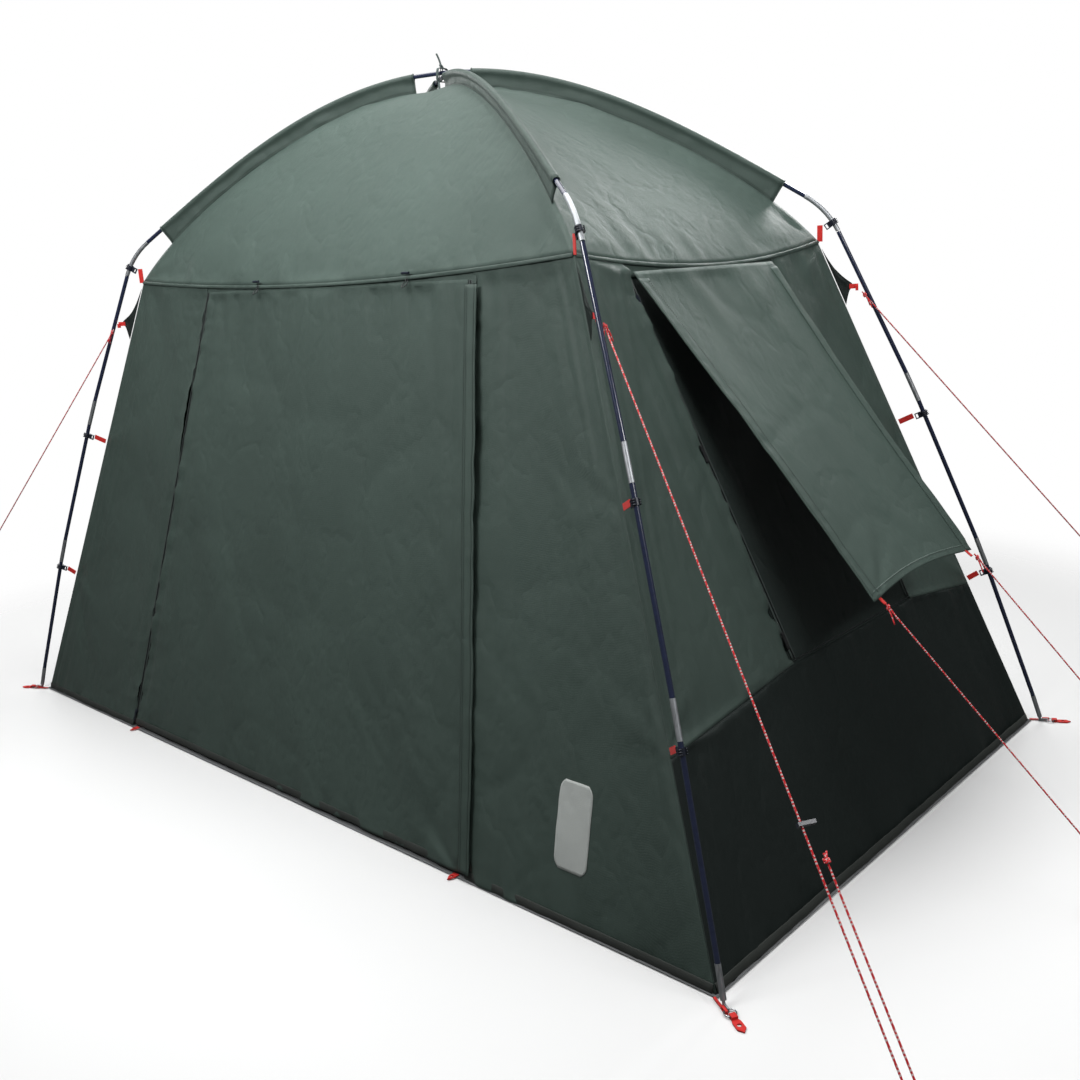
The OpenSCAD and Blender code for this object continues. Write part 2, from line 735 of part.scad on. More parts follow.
// Bar with two holes that grips both strands of a corner rope
module guy_runner(path) {
    z = unit(path[1] - path[0]);
    between = path[13] - path[7];
    across = between - (between * z) * z;
    x = unit(across);
    y = cross(z, x);
    middle = path[0] + runner_share * (path[8] - path[0]) + across / 2;
    gap = norm(across);
    color("#1a2233") multmatrix([[x[0], y[0], z[0], middle[0]],
                                 [x[1], y[1], z[1], middle[1]],
                                 [x[2], y[2], z[2], middle[2]]])
        difference() {
            cube([gap + 14, 12, 7], center = true);
            for (m = [-1, 1]) translate([m * gap / 2, 0, 0])
                cylinder(d = rope_d + 2 * runner_gap, h = 20, center = true);
        }
}

roof_pole(FRONT_LEFT);  // roof_pole_front_left_back_right
roof_pole(FRONT_RIGHT);  // roof_pole_front_right_back_left
pole_elbows();
leg_pole(FRONT_LEFT);  // leg_pole_front_left
leg_pole(FRONT_RIGHT);  // leg_pole_front_right
leg_pole(BACK_RIGHT);  // leg_pole_back_right
leg_pole(BACK_LEFT);  // leg_pole_back_left
pole_ferrules();
foot_tips();
foot_pins();
shock_cords();
corner_rings();
corner_webbing();
pole_clips();
clip_straps();
roof_panel(0);  // roof_front
roof_panel(1);  // roof_right
roof_panel(2);  // roof_back
roof_panel(3);  // roof_left
sleeve(FRONT_LEFT);  // sleeve_front_left
sleeve(FRONT_RIGHT);  // sleeve_front_right
sleeve(BACK_RIGHT);  // sleeve_back_right
sleeve(BACK_LEFT);  // sleeve_back_left
front_wall_left();
front_wall_right();
back_wall();
side_wall_front();  // right_wall_front
side_wall_back();  // right_wall_back
side_wall_lower();  // right_wall_lower
mirror([1, 0, 0]) side_wall_front();  // left_wall_front
mirror([1, 0, 0]) side_wall_back();  // left_wall_back
mirror([1, 0, 0]) side_wall_lower();  // left_wall_lower
window_meshes();
groundsheet();
door_panel();
door_zip_flap();
door_peg_loops();
door_zip_tapes();
door_slider_left();
door_slider_right();
door_toggle(-283);  // door_toggle_left
door_toggle(412);  // door_toggle_right
awning_panel();
window_cover_left();
window_zip_tapes();
window_slider_right();
window_slider_left();
guy_wings();
guy_tabs();
apex_tie();
rope(route_front_left);  // guy_rope_front_left
rope(route_front_right);  // guy_rope_front_right
rope(route_back_right);  // guy_rope_back_right
rope(route_back_left);  // guy_rope_back_left
rope(route_awning_front);  // awning_rope_front
rope(route_awning_back);  // awning_rope_back
guy_runner(route_front_left);  // guy_runner_front_left
guy_runner(route_front_right);  // guy_runner_front_right
guy_runner(route_back_right);  // guy_runner_back_right
guy_runner(route_back_left);  // guy_runner_back_left
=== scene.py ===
"""Looks of a cabin tent on two crossed poles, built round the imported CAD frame.

Metres, +Z up, the door faces -Y and the propped window cover faces +X.
"""

import math

import bpy
import numpy as np
from mathutils import Matrix, Vector
from mathutils.bvhtree import BVHTree


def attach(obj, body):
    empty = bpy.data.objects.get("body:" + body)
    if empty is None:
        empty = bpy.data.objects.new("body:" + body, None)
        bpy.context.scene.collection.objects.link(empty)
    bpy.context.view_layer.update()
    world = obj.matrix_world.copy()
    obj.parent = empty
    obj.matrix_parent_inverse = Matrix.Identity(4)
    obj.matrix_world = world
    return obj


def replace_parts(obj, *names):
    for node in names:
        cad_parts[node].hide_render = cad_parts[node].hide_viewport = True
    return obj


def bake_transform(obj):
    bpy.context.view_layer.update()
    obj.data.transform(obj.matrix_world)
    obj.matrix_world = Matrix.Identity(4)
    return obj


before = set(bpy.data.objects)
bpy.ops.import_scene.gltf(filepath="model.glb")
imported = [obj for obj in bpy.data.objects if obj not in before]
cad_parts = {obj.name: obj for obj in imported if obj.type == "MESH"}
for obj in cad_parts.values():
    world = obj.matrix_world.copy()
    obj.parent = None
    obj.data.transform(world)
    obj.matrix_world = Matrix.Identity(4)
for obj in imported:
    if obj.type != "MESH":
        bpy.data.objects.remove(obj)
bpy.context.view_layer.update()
MM = 0.001
MIRROR = (-1, 1, 1)

# ------------------------------------------------------------------ camera
CAM_AT = (2.745, -2.590, 1.506)
CAM_RIGHT = (0.73547, 0.67504, -0.05820)
CAM_UP = (-0.11936, 0.21364, 0.96958)
CAM_BACK = (0.66695, -0.70616, 0.23770)
cam_data = bpy.data.cameras.new("camera")
cam_data.lens = 37.6
cam_data.sensor_width = 36.0
cam_data.clip_end = 60.0
camera = bpy.data.objects.new("camera", cam_data)
bpy.context.scene.collection.objects.link(camera)
camera.matrix_world = Matrix((
    (CAM_RIGHT[0], CAM_UP[0], CAM_BACK[0], CAM_AT[0]),
    (CAM_RIGHT[1], CAM_UP[1], CAM_BACK[1], CAM_AT[1]),
    (CAM_RIGHT[2], CAM_UP[2], CAM_BACK[2], CAM_AT[2]),
    (0, 0, 0, 1)))
bpy.context.scene.camera = camera


# ------------------------------------------------------------------ helpers
def vec(points):
    return np.asarray(points, float)


def unit(v):
    v = vec(v)
    return v / np.linalg.norm(v, axis=-1, keepdims=True)


def make_mesh(name, verts, faces, material=None, smooth=True):
    mesh = bpy.data.meshes.new(name)
    mesh.from_pydata([tuple(v) for v in verts], [], [tuple(f) for f in faces])
    mesh.update()
    mesh.polygons.foreach_set("use_smooth", [smooth] * len(mesh.polygons))
    obj = bpy.data.objects.new(name, mesh)
    bpy.context.scene.collection.objects.link(obj)
    if material is not None:
        mesh.materials.append(material)
    return obj


def tube_faces(rows, sides):
    """Quads between neighbouring rings, and a cap on each end."""
    faces = []
    for i in range(rows - 1):
        for k in range(sides):
            j = (k + 1) % sides
            a, b = i * sides, (i + 1) * sides
            faces.append((a + k, a + j, b + j, b + k))
    faces.append(tuple(range(sides))[::-1])
    faces.append(tuple((rows - 1) * sides + k for k in range(sides)))
    return faces


def spline(points, step):
    """Catmull-Rom curve through the points, resampled about step apart."""
    p = vec(points)
    p = np.vstack([2 * p[0] - p[1], p, 2 * p[-1] - p[-2]])
    out = []
    for i in range(1, len(p) - 2):
        a, b, c, d = p[i - 1], p[i], p[i + 1], p[i + 2]
        t = np.linspace(0, 1, 24, endpoint=False)[:, None]
        out.append(0.5 * (2 * b + (c - a) * t + (2 * a - 5 * b + 4 * c - d) * t**2
                          + (3 * b - a - 3 * c + d) * t**3))
    line = np.vstack([*out, p[-2][None]])
    along = np.concatenate([[0], np.cumsum(np.linalg.norm(np.diff(line, axis=0), axis=1))])
    at = np.linspace(0, along[-1], max(2, int(round(along[-1] / step)) + 1))
    return np.stack([np.interp(at, along, line[:, k]) for k in range(3)], axis=1)


def normals(line):
    """Two unit normals along a line, carried without twist."""
    t = unit(np.gradient(vec(line), axis=0))
    side = unit(np.cross(t[0], (0.31, 0.17, 0.93)))
    sides = []
    for v in t:
        side = unit(side - v * (side @ v))
        sides.append(side)
    sides = vec(sides)
    return sides, np.cross(t, sides)


def swept(line, radius, sides):
    """Rings of points round a line; radius may differ from ring to ring."""
    a, b = normals(line)
    angle = np.arange(sides) * 2 * np.pi / sides
    r = np.broadcast_to(vec(radius), (len(line),)) if np.ndim(radius) < 2 else radius
    if np.ndim(r) == 1:
        r = np.repeat(r[:, None], sides, axis=1)
    ring = (vec(line)[:, None] + (r * np.cos(angle))[..., None] * a[:, None]
            + (r * np.sin(angle))[..., None] * b[:, None])
    return ring.reshape(-1, 3)


def tube(line, radius, sides):
    return swept(line, radius, sides), tube_faces(len(line), sides)


def joined(parts):
    """One list of points and one of faces from several pieces' lists."""
    verts, faces = [], []
    for more_verts, more_faces in parts:
        start = len(verts)
        verts.extend(vec(more_verts))
        faces.extend(tuple(start + v for v in f) for f in more_faces)
    return verts, faces


def bulge(s, t):
    """0 on a panel's edges, 1 in its middle."""
    return np.sin(np.pi * s) * np.sin(np.pi * t)


# ------------------------------------------------------ the frame's numbers
BASE_L, BASE_W, TENT_H = 3.184, 1.802, 2.100
POLE_R = 0.00635
FOOT_R = math.hypot(BASE_L, BASE_W) / 2
DIAG = (BASE_L / 2 / FOOT_R, BASE_W / 2 / FOOT_R)
SIGNS = ((-1, -1), (1, -1), (1, 1), (-1, 1))
CORNERS = ("front_left", "front_right", "back_right", "back_left")
HIP_R = 0.636 * FOOT_R
LEG_BOW = 0.036


def roof_z(r):
    return TENT_H * (1 - 0.94 * (r / TENT_H) ** 2 + 0.614 * (r / TENT_H) ** 4)


def roof_slope(r):
    return 1.88 * (r / TENT_H) - 2.456 * (r / TENT_H) ** 3


HIP_Z = roof_z(HIP_R)
CLOTH_R, EAVE_R = FOOT_R - 0.037, HIP_R - 0.026
EAVE_Z = HIP_Z - 0.092
BASE_X, BASE_Y = CLOTH_R * DIAG[0], CLOTH_R * DIAG[1]
EAVE_X, EAVE_Y = EAVE_R * DIAG[0], EAVE_R * DIAG[1]
LEAN = (math.atan((BASE_Y - EAVE_Y) / EAVE_Z), math.atan((BASE_X - EAVE_X) / EAVE_Z))
ARC_END_R = HIP_R - 0.075 * math.cos(math.atan(roof_slope(HIP_R)))
SAG = (0.038, 0.045)
FRONT, RIGHT, BACK, LEFT = 0, 1, 2, 3


def leg_r(z):
    t = 1 - z / HIP_Z
    return HIP_R + (FOOT_R - HIP_R) * t + LEG_BOW * 4 * t * (1 - t)


def diagonal(c, r, z):
    """A point over corner c's diagonal, at radius r and height z."""
    r, z = np.broadcast_arrays(vec(r), vec(z))
    return np.stack([SIGNS[c][0] * DIAG[0] * r, SIGNS[c][1] * DIAG[1] * r, z], -1)


def fin(r):
    low = 0.080
    return low + (roof_z(EAVE_R) - EAVE_Z - low) * (r / EAVE_R) ** 2


def eave_half(k):
    return EAVE_Y if k % 2 else EAVE_X


def eave_at(k, u):
    return EAVE_Z - SAG[k % 2] * (1 - (u / eave_half(k)) ** 2)


def side_u(k, z):
    half = BASE_Y if k % 2 else BASE_X
    return half - (half - eave_half(k)) * z / EAVE_Z


def face_point(k, u, z, w=0.0):
    """A point of wall face k: u along it, at height z, w outside its plane."""
    u, z, w = np.broadcast_arrays(vec(u), vec(z), vec(w))
    lean = LEAN[k % 2]
    out = -(BASE_X if k % 2 else BASE_Y) + z * math.tan(lean) - w * math.cos(lean)
    up = z + w * math.sin(lean)
    c, s = ((1, 0), (0, 1), (-1, 0), (0, -1))[k]
    return np.stack([u * c - out * s, u * s + out * c, up], -1)


# --------------------------------------------------------- noise and creases
def noise(x, y, seed):
    """Smooth noise from -1 to 1, with cells one unit wide."""
    n = 61
    g = np.random.default_rng(seed).uniform(-1, 1, (n, n))
    x, y = np.broadcast_arrays(vec(x), vec(y))
    xi, yi = np.floor(x).astype(int), np.floor(y).astype(int)
    fx, fy = x - xi, y - yi
    fx, fy = fx * fx * (3 - 2 * fx), fy * fy * (3 - 2 * fy)
    a, b = g[xi % n, yi % n], g[(xi + 1) % n, yi % n]
    c, d = g[xi % n, (yi + 1) % n], g[(xi + 1) % n, (yi + 1) % n]
    return (a * (1 - fx) + b * fx) * (1 - fy) + (c * (1 - fx) + d * fx) * fy


def crease(x, y, seed):
    """Noise with sharp ridges, from 0 to 1."""
    return (1 - np.abs(noise(x, y, seed))) ** 4


def near(d, reach):
    return np.exp(-np.abs(d) / reach)


def rays(u, z, at, count, reach, seed):
    """Folds that radiate from a point where the cloth is pulled."""
    du, dz = u - at[0], z - at[1]
    d = np.hypot(du, dz) + 1e-6
    angle = np.arctan2(dz, du)
    return noise(angle * count / np.pi + 30, d / 0.5, seed) * near(d, reach) * (d / (d + 0.03))


def edge_mask(s, t, left=0.05, right=0.05, low=0.04, high=0.04):
    """0 on the panel's edges and 1 inside; a width of 0 leaves that edge free."""
    m = np.ones_like(s)
    for d, w in ((s, left), (1 - s, right), (t, low), (1 - t, high)):
        if w:
            q = np.clip(d / w, 0, 1)
            m = m * q * q * (3 - 2 * q)
    return m


# ---------------------------------------------------------------- materials
COAT_ROUGH = 0.12


def node_tree(name, base, rough, metallic=0.0, sheen=0.0, coat=0.0, specular=0.5):
    mat = bpy.data.materials.new(name)
    mat.use_nodes = True
    nodes, links = mat.node_tree.nodes, mat.node_tree.links
    bsdf = nodes["Principled BSDF"]
    bsdf.inputs["Base Color"].default_value = (*base, 1)
    bsdf.inputs["Roughness"].default_value = rough
    bsdf.inputs["Metallic"].default_value = metallic
    bsdf.inputs["Specular IOR Level"].default_value = specular
    bsdf.inputs["Sheen Weight"].default_value = sheen
    bsdf.inputs["Sheen Roughness"].default_value = 0.45
    bsdf.inputs["Coat Weight"].default_value = coat
    bsdf.inputs["Coat Roughness"].default_value = COAT_ROUGH
    coords = nodes.new("ShaderNodeTexCoord")
    return mat, nodes, links, bsdf, coords.outputs["Object"]


def add_noise(nodes, links, coords, scale, detail=3.0, rough=0.55, stretch=None):
    if stretch is not None:
        mapping = nodes.new("ShaderNodeMapping")
        mapping.inputs["Scale"].default_value = stretch
        links.new(coords, mapping.inputs["Vector"])
        coords = mapping.outputs["Vector"]
    tex = nodes.new("ShaderNodeTexNoise")
    tex.inputs["Scale"].default_value = scale
    tex.inputs["Detail"].default_value = detail
    tex.inputs["Roughness"].default_value = rough
    links.new(coords, tex.inputs["Vector"])
    return tex.outputs["Fac"]


def add_ramp(nodes, links, value, stops):
    ramp = nodes.new("ShaderNodeValToRGB")
    while len(ramp.color_ramp.elements) < len(stops):
        ramp.color_ramp.elements.new(0.5)
    for e, (at, colour) in zip(ramp.color_ramp.elements, stops):
        e.position, e.color = at, (*colour, 1)
    links.new(value, ramp.inputs["Fac"])
    return ramp.outputs["Color"]


def add_bump(nodes, links, height, distance, strength=1.0, normal=None):
    bump = nodes.new("ShaderNodeBump")
    bump.inputs["Distance"].default_value = distance
    bump.inputs["Strength"].default_value = strength
    links.new(height, bump.inputs["Height"])
    if normal is not None:
        links.new(normal, bump.inputs["Normal"])
    return bump.outputs["Normal"]


def add_math(nodes, links, operation, a, b):
    m = nodes.new("ShaderNodeMath")
    m.operation = operation
    for i, v in enumerate((a, b)):
        if isinstance(v, (int, float)):
            m.inputs[i].default_value = v
        else:
            links.new(v, m.inputs[i])
    return m.outputs[0]


def add_bands(nodes, links, coords, period, direction):
    wave = nodes.new("ShaderNodeTexWave")
    wave.bands_direction = direction
    wave.inputs["Scale"].default_value = 0.31416 / period
    wave.inputs["Distortion"].default_value = 0.6
    wave.inputs["Detail"].default_value = 1.0
    links.new(coords, wave.inputs["Vector"])
    return wave.outputs["Fac"]


def tint(colour, f):
    return tuple(min(1.0, c * f) for c in colour)


def cloth_material(name, base, rough=0.55, sheen=0.04, weave=0.0011, contrast=0.10,
                   crumple=0.0022, weave_depth=0.00016):
    """Coated plain-weave cloth: threads, faint mottling, soft crumples."""
    mat, nodes, links, bsdf, coords = node_tree(name, base, rough, sheen=sheen, specular=0.32)
    patch = add_noise(nodes, links, coords, 3.1, 4.0)
    fine = add_noise(nodes, links, coords, 420.0, 2.0)
    both = add_math(nodes, links, "ADD", add_math(nodes, links, "MULTIPLY", patch, 0.75),
                    add_math(nodes, links, "MULTIPLY", fine, 0.25))
    colour = add_ramp(nodes, links, both, [
        (0.30, tint(base, 1 - contrast)), (0.52, base), (0.74, tint(base, 1 + contrast))])
    links.new(colour, bsdf.inputs["Base Color"])
    threads = add_math(nodes, links, "MULTIPLY",
                       add_math(nodes, links, "ADD",
                                add_bands(nodes, links, coords, weave, "X"),
                                add_bands(nodes, links, coords, weave, "Y")),
                       add_bands(nodes, links, coords, weave, "Z"))
    normal = add_bump(nodes, links, threads, weave_depth)
    folds = add_noise(nodes, links, coords, 8.0, 6.0, 0.55, stretch=(1.0, 1.0, 0.5))
    normal = add_bump(nodes, links, folds, crumple * 2.2, 0.9, normal)
    # sharp little creases where the cloth was folded in its bag
    ridge = add_noise(nodes, links, coords, 5.0, 3.0, 0.6, stretch=(1.0, 1.0, 0.7))
    ridge = add_math(nodes, links, "ABSOLUTE", add_math(nodes, links, "SUBTRACT", ridge, 0.5), 0)
    ridge = add_math(nodes, links, "MINIMUM", add_math(nodes, links, "MULTIPLY", ridge, 14.0), 1.0)
    links.new(add_bump(nodes, links, ridge, crumple * 0.65, 0.8, normal), bsdf.inputs["Normal"])
    return mat


def plastic_material(name, base, rough, grain=260.0, coat=0.0):
    mat, nodes, links, bsdf, coords = node_tree(name, base, rough, coat=coat)
    f = add_noise(nodes, links, coords, grain, 3.0)
    links.new(add_ramp(nodes, links, f, [(0.3, tint(base, 0.85)), (0.7, tint(base, 1.2))]),
              bsdf.inputs["Base Color"])
    links.new(add_bump(nodes, links, f, 0.00012), bsdf.inputs["Normal"])
    return mat


def metal_material(name, base, rough):
    """Drawn metal, its fine streaks long in z."""
    mat, nodes, links, bsdf, coords = node_tree(name, base, rough, metallic=1.0)
    f = add_noise(nodes, links, coords, 180.0, 3.0, stretch=(1.0, 1.0, 0.06))
    links.new(add_ramp(nodes, links, f, [(0.3, tint(base, 0.78)), (0.7, tint(base, 1.1))]),
              bsdf.inputs["Base Color"])
    links.new(add_ramp(nodes, links, f, [(0.2, (rough * 0.8,) * 3), (0.8, (rough * 1.25,) * 3)]),
              bsdf.inputs["Roughness"])
    links.new(add_bump(nodes, links, f, 0.00006), bsdf.inputs["Normal"])
    return mat


GREEN = (0.062, 0.094, 0.080)
mats = {
    "roof_cloth": cloth_material("roof_cloth_weave", GREEN, rough=0.54),
    # the walls are the roof's own fabric; their green is set at 0.86 of the roof's as painted shade
    "wall_cloth": cloth_material("wall_weave_painted_shade", tint(GREEN, 0.86), rough=0.50),
    "dark_cloth": cloth_material("dark_cloth_weave", (0.0055, 0.0115, 0.0100), rough=0.58,
                                 sheen=0.02),
    "mesh_cloth": cloth_material("insect_mesh", (0.0150, 0.0260, 0.0225), rough=0.75, sheen=0.03,
                                 weave=0.0016, weave_depth=0.0005, crumple=0.004),
    "groundsheet": cloth_material("groundsheet_weave", (0.16, 0.165, 0.17), rough=0.45,
                                  weave=0.0025, weave_depth=0.0004),
    "hem": cloth_material("hem_binding", (0.034, 0.039, 0.035), rough=0.7, weave=0.0016,
                          crumple=0.001),
    "zip_tape": cloth_material("zip_tape_weave", (0.045, 0.060, 0.055), rough=0.75,
                               weave=0.0012, crumple=0.0006),
    "zip_coil": plastic_material("zip_coil_nylon", (0.012, 0.014, 0.015), 0.35),
    "tie_tape": cloth_material("tie_tape_weave", (0.075, 0.098, 0.094), rough=0.8, weave=0.0016,
                               crumple=0.0008),
    "red_webbing": cloth_material("red_webbing_weave", (0.62, 0.020, 0.016), rough=0.6,
                                  weave=0.0018, crumple=0.0008, sheen=0.2),
    "black_plastic": plastic_material("black_plastic_moulded", (0.012, 0.015, 0.026), 0.32),
    "pole": plastic_material("pole_glass_fibre", (0.012, 0.018, 0.048), 0.24, 90.0, coat=0.6),
    "silver_metal": metal_material("brushed_metal", (0.46, 0.48, 0.50), 0.52),
    "steel_wire": metal_material("steel_wire_bright", (0.52, 0.54, 0.56), 0.28),
    "shock_cord": cloth_material("shock_cord_braid", (0.60, 0.60, 0.58), rough=0.8),
    "patch": cloth_material("patch_film", (0.52, 0.55, 0.53), rough=0.5, crumple=0.001),
    "rope_red": cloth_material("rope_red_braid", (0.62, 0.010, 0.016), rough=0.7,
                               weave=0.0007, crumple=0.0002, sheen=0.25),
    "rope_white": cloth_material("rope_white_fleck", (0.66, 0.50, 0.50), rough=0.7,
                                 weave=0.0007, crumple=0.0002, sheen=0.25),
    "thread": cloth_material("thread_cotton", (0.030, 0.042, 0.037), rough=0.8, crumple=0.0002),
    "sleeve_cloth": cloth_material("sleeve_cloth_weave", tint(GREEN, 0.80), rough=0.52),
    "velcro": cloth_material("hook_tape_pile", (0.012, 0.013, 0.014), rough=0.95, weave=0.0009,
                             weave_depth=0.0006, crumple=0.0006),
}


# ------------------------------------------------------------- cloth sheets
def grid_faces(rows, cols):
    i, j = np.meshgrid(np.arange(rows - 1), np.arange(cols - 1), indexing="ij")
    a = (i * cols + j).ravel()
    return np.stack([a, a + 1, a + cols + 1, a + cols], 1)


def cloth_grid(name, grid, mat, body, thickness=0.0011, flip=False):
    """A sheet from a grid of points, thickened inwards."""
    rows, cols = grid.shape[:2]
    faces = grid_faces(rows, cols)
    if flip:
        faces = faces[:, ::-1]
    obj = make_mesh(name, grid.reshape(-1, 3), faces.tolist(), mats[mat])
    solid = obj.modifiers.new("cloth_thickness", "SOLIDIFY")
    solid.thickness, solid.offset, solid.use_rim = thickness, -1.0, True
    if body:
        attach(obj, body)
    return obj


sewn_on = {}       # cloth name -> the hems, tapes, stitches and tabs on it


def sew(cloth, *pieces):
    sewn_on.setdefault(cloth if isinstance(cloth, str) else cloth.name, []).extend(pieces)
    return pieces[0]


def declare_sheet(flat_grid, flat=None):
    """Measures a cloth's flat size on the unwrinkled cut; the size is not kept."""
    up = round(float(np.linalg.norm(np.diff(flat_grid, axis=0), axis=-1).sum(0).max()), 3)
    across = round(float(np.linalg.norm(np.diff(flat_grid, axis=1), axis=-1).sum(1).max()), 3)
    across, up = flat or (across, up)


PANEL_CELL = 0.0145
GROUND_Z = 0.0012


def steps(length, cell):
    return max(3, int(round(length / cell)) + 1)


def panel_grid(low_left, low_right, top_left, top_right, top=None, cell=PANEL_CELL):
    """(u, z, s, t) arrays of a wall panel between two straight side edges."""
    width = max(abs(low_right[0] - low_left[0]), abs(top_right[0] - top_left[0]))
    height = max(top_left[1], top_right[1]) - min(low_left[1], low_right[1])
    t = np.linspace(0, 1, steps(height, cell))
    t = t - 0.45 * np.sin(2 * np.pi * t) / (2 * np.pi)     # closer rows by the seams
    t, s = np.meshgrid(t, np.linspace(0, 1, steps(width, cell * 0.55)), indexing="ij")
    u_low = low_left[0] + (low_right[0] - low_left[0]) * s
    u_top = top_left[0] + (top_right[0] - top_left[0]) * s
    z_low = low_left[1] + (low_right[1] - low_left[1]) * s
    z_top = top(u_top) if top else top_left[1] + (top_right[1] - top_left[1]) * s
    return u_low + (u_top - u_low) * t, z_low + (z_top - z_low) * t, s, t


def wall_sheet(name, node, k, cut, disp, mat="wall_cloth", body="tent",
               mirrored=False):
    """A panel of wall face k, disp outside its plane, in place of the CAD node."""
    u, z = cut[:2]
    inset = -0.001
    flat = face_point(k, u, z, inset)
    grid = face_point(k, u, z, inset + disp)
    grid[..., 2] = np.maximum(grid[..., 2], GROUND_Z)
    if mirrored:
        flat, grid = flat * MIRROR, grid * MIRROR
    obj = cloth_grid(name, grid, mat, body, flip=mirrored)
    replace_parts(obj, node)
    declare_sheet(flat)
    return obj


# ------------------------------------------------------------------- ropes
ROPE_D = 0.004
ROUTES = {
    "guy_rope_front_left": [
        (-1095, -640, 1368), (-1193, -725, 1198), (-1291, -810, 1028),
        (-1389, -895, 858), (-1487, -980, 688), (-1585, -1065, 518),
        (-1683, -1150, 348), (-1781, -1235, 178), (-1876, -1317, 14),
        (-1876, -1326, 6), (-1868, -1334, 4), (-1859, -1334, 6), (-1860, -1330, 14),
        (-1765, -1248, 178), (-1667, -1163, 348), (-1569, -1078, 518)],
    "guy_rope_front_right": [
        (1110, -610, 1368), (1265, -700, 1198), (1420, -790, 1028),
        (1575, -880, 858), (1730, -970, 688), (1885, -1060, 518),
        (2040, -1150, 348), (2195, -1240, 178), (2344, -1327, 14),
        (2352, -1326, 6), (2358, -1320, 4), (2360, -1313, 6), (2354, -1310, 14),
        (2205, -1223, 178), (2050, -1133, 348), (1895, -1043, 518)],
    "guy_rope_back_right": [
        (1110, 610, 1368), (1235, 682, 1198), (1360, 754, 1028), (1485, 826, 858),
        (1610, 898, 688), (1735, 970, 518), (1860, 1042, 348), (1985, 1114, 178),
        (2106, 1183, 14), (2114, 1182, 6), (2119, 1176, 4), (2121, 1169, 6),
        (2116, 1166, 14), (1995, 1097, 178), (1870, 1025, 348), (1745, 953, 518)],
    "guy_rope_back_left": [
        (-1110, 610, 1368), (-1206, 664, 1198), (-1302, 718, 1028),
        (-1398, 772, 858), (-1494, 826, 688), (-1590, 880, 518), (-1686, 934, 348),
        (-1782, 988, 178), (-1875, 1040, 14), (-1882, 1039, 6), (-1887, 1033, 4),
        (-1889, 1026, 6), (-1885, 1023, 14), (-1792, 971, 178), (-1696, 917, 348),
        (-1600, 863, 518)],
    "awning_rope_front": [
        (1572, -165, 672), (1680, -165, 567), (1790, -165, 459),
        (1900, -165, 352), (2010, -165, 244), (2120, -165, 137), (2246, -165, 14),
        (2252, -162, 6), (2254, -155, 4), (2252, -148, 6), (2246, -145, 14),
        (2180, -145, 79), (2110, -145, 147)],
    "awning_rope_back": [
        (1572, 365, 672), (1680, 365, 559), (1780, 365, 455),
        (1880, 365, 350), (1980, 365, 246), (2080, 365, 141), (2202, 365, 14),
        (2208, 362, 6), (2210, 355, 4), (2208, 348, 6), (2202, 345, 14),
        (2140, 345, 79), (2070, 345, 152)],
}


def rope_line(name):
    """The route's curve; points near each long run's ends keep the turns tight."""
    route = vec(ROUTES[name]) * MM
    points = [route[0]]
    for a, b in zip(route[:-1], route[1:]):
        long = np.linalg.norm(b - a)
        if long > 0.05:
            along = (0.008, 0.030, long / 2, long - 0.030, long - 0.008)
            points += [a + (b - a) * g / long for g in along]
        points.append(b)
    line = spline(points, 0.0032)
    line[:, 2] = np.maximum(line[:, 2], ROPE_D * 0.55)
    return line


def make_rope(name, body):
    """A braided rope: red, with a row of white flecks winding round it."""
    line = rope_line(name)
    rows, sides = len(line), 8
    i, k = np.meshgrid(np.arange(rows), np.arange(sides), indexing="ij")
    bump = 1 + 0.06 * np.cos((i + 2 * k) * np.pi / 2)
    verts = swept(line, ROPE_D / 2 * bump, sides)
    obj = make_mesh(name + "_braid", verts, tube_faces(rows, sides), mats["rope_red"])
    obj.data.materials.append(mats["rope_white"])
    for n, poly in enumerate(obj.data.polygons):
        row, around = divmod(n, sides)
        poly.material_index = int(row % 2 == 0 and (around + 3 * row) % 8 < 5 and row < rows - 1)
    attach(obj, body)
    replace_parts(obj, name)
    return obj, line


ropes = {n: make_rope(n, "awning_ropes" if n.startswith("awning") else "tent")
         for n in ROUTES}


# ------------------------------------------------------------ walls and door
SEAM = 0.0006
# zip lines as (u, z) at the low and the high end; F and B are front and back
DOOR_TOP, DOOR_LOW = 1.476, 0.014
DOOR_L = ((-0.890, DOOR_LOW), (-0.568, DOOR_TOP))
DOOR_R = ((0.790, DOOR_LOW), (0.650, DOOR_TOP))
WIN_TOP, WIN_LOW = 1.468, 0.512
WIN_F = ((-0.232, WIN_LOW), (-0.388, WIN_TOP))
WIN_B = ((0.405, WIN_LOW), (0.262, WIN_TOP))
TOGGLE_U = (-0.283, 0.412)
LOWER_SEAM = 0.455
ZIP = 0.008
CLIP_Z = (1.521, 0.970, 0.472)


def zip_u(line, z):
    (u0, z0), (u1, z1) = line
    return u0 + (u1 - u0) * (z - z0) / (z1 - z0)


def eave_low(k, drop=0.001):
    return lambda u: eave_at(k, u) - drop


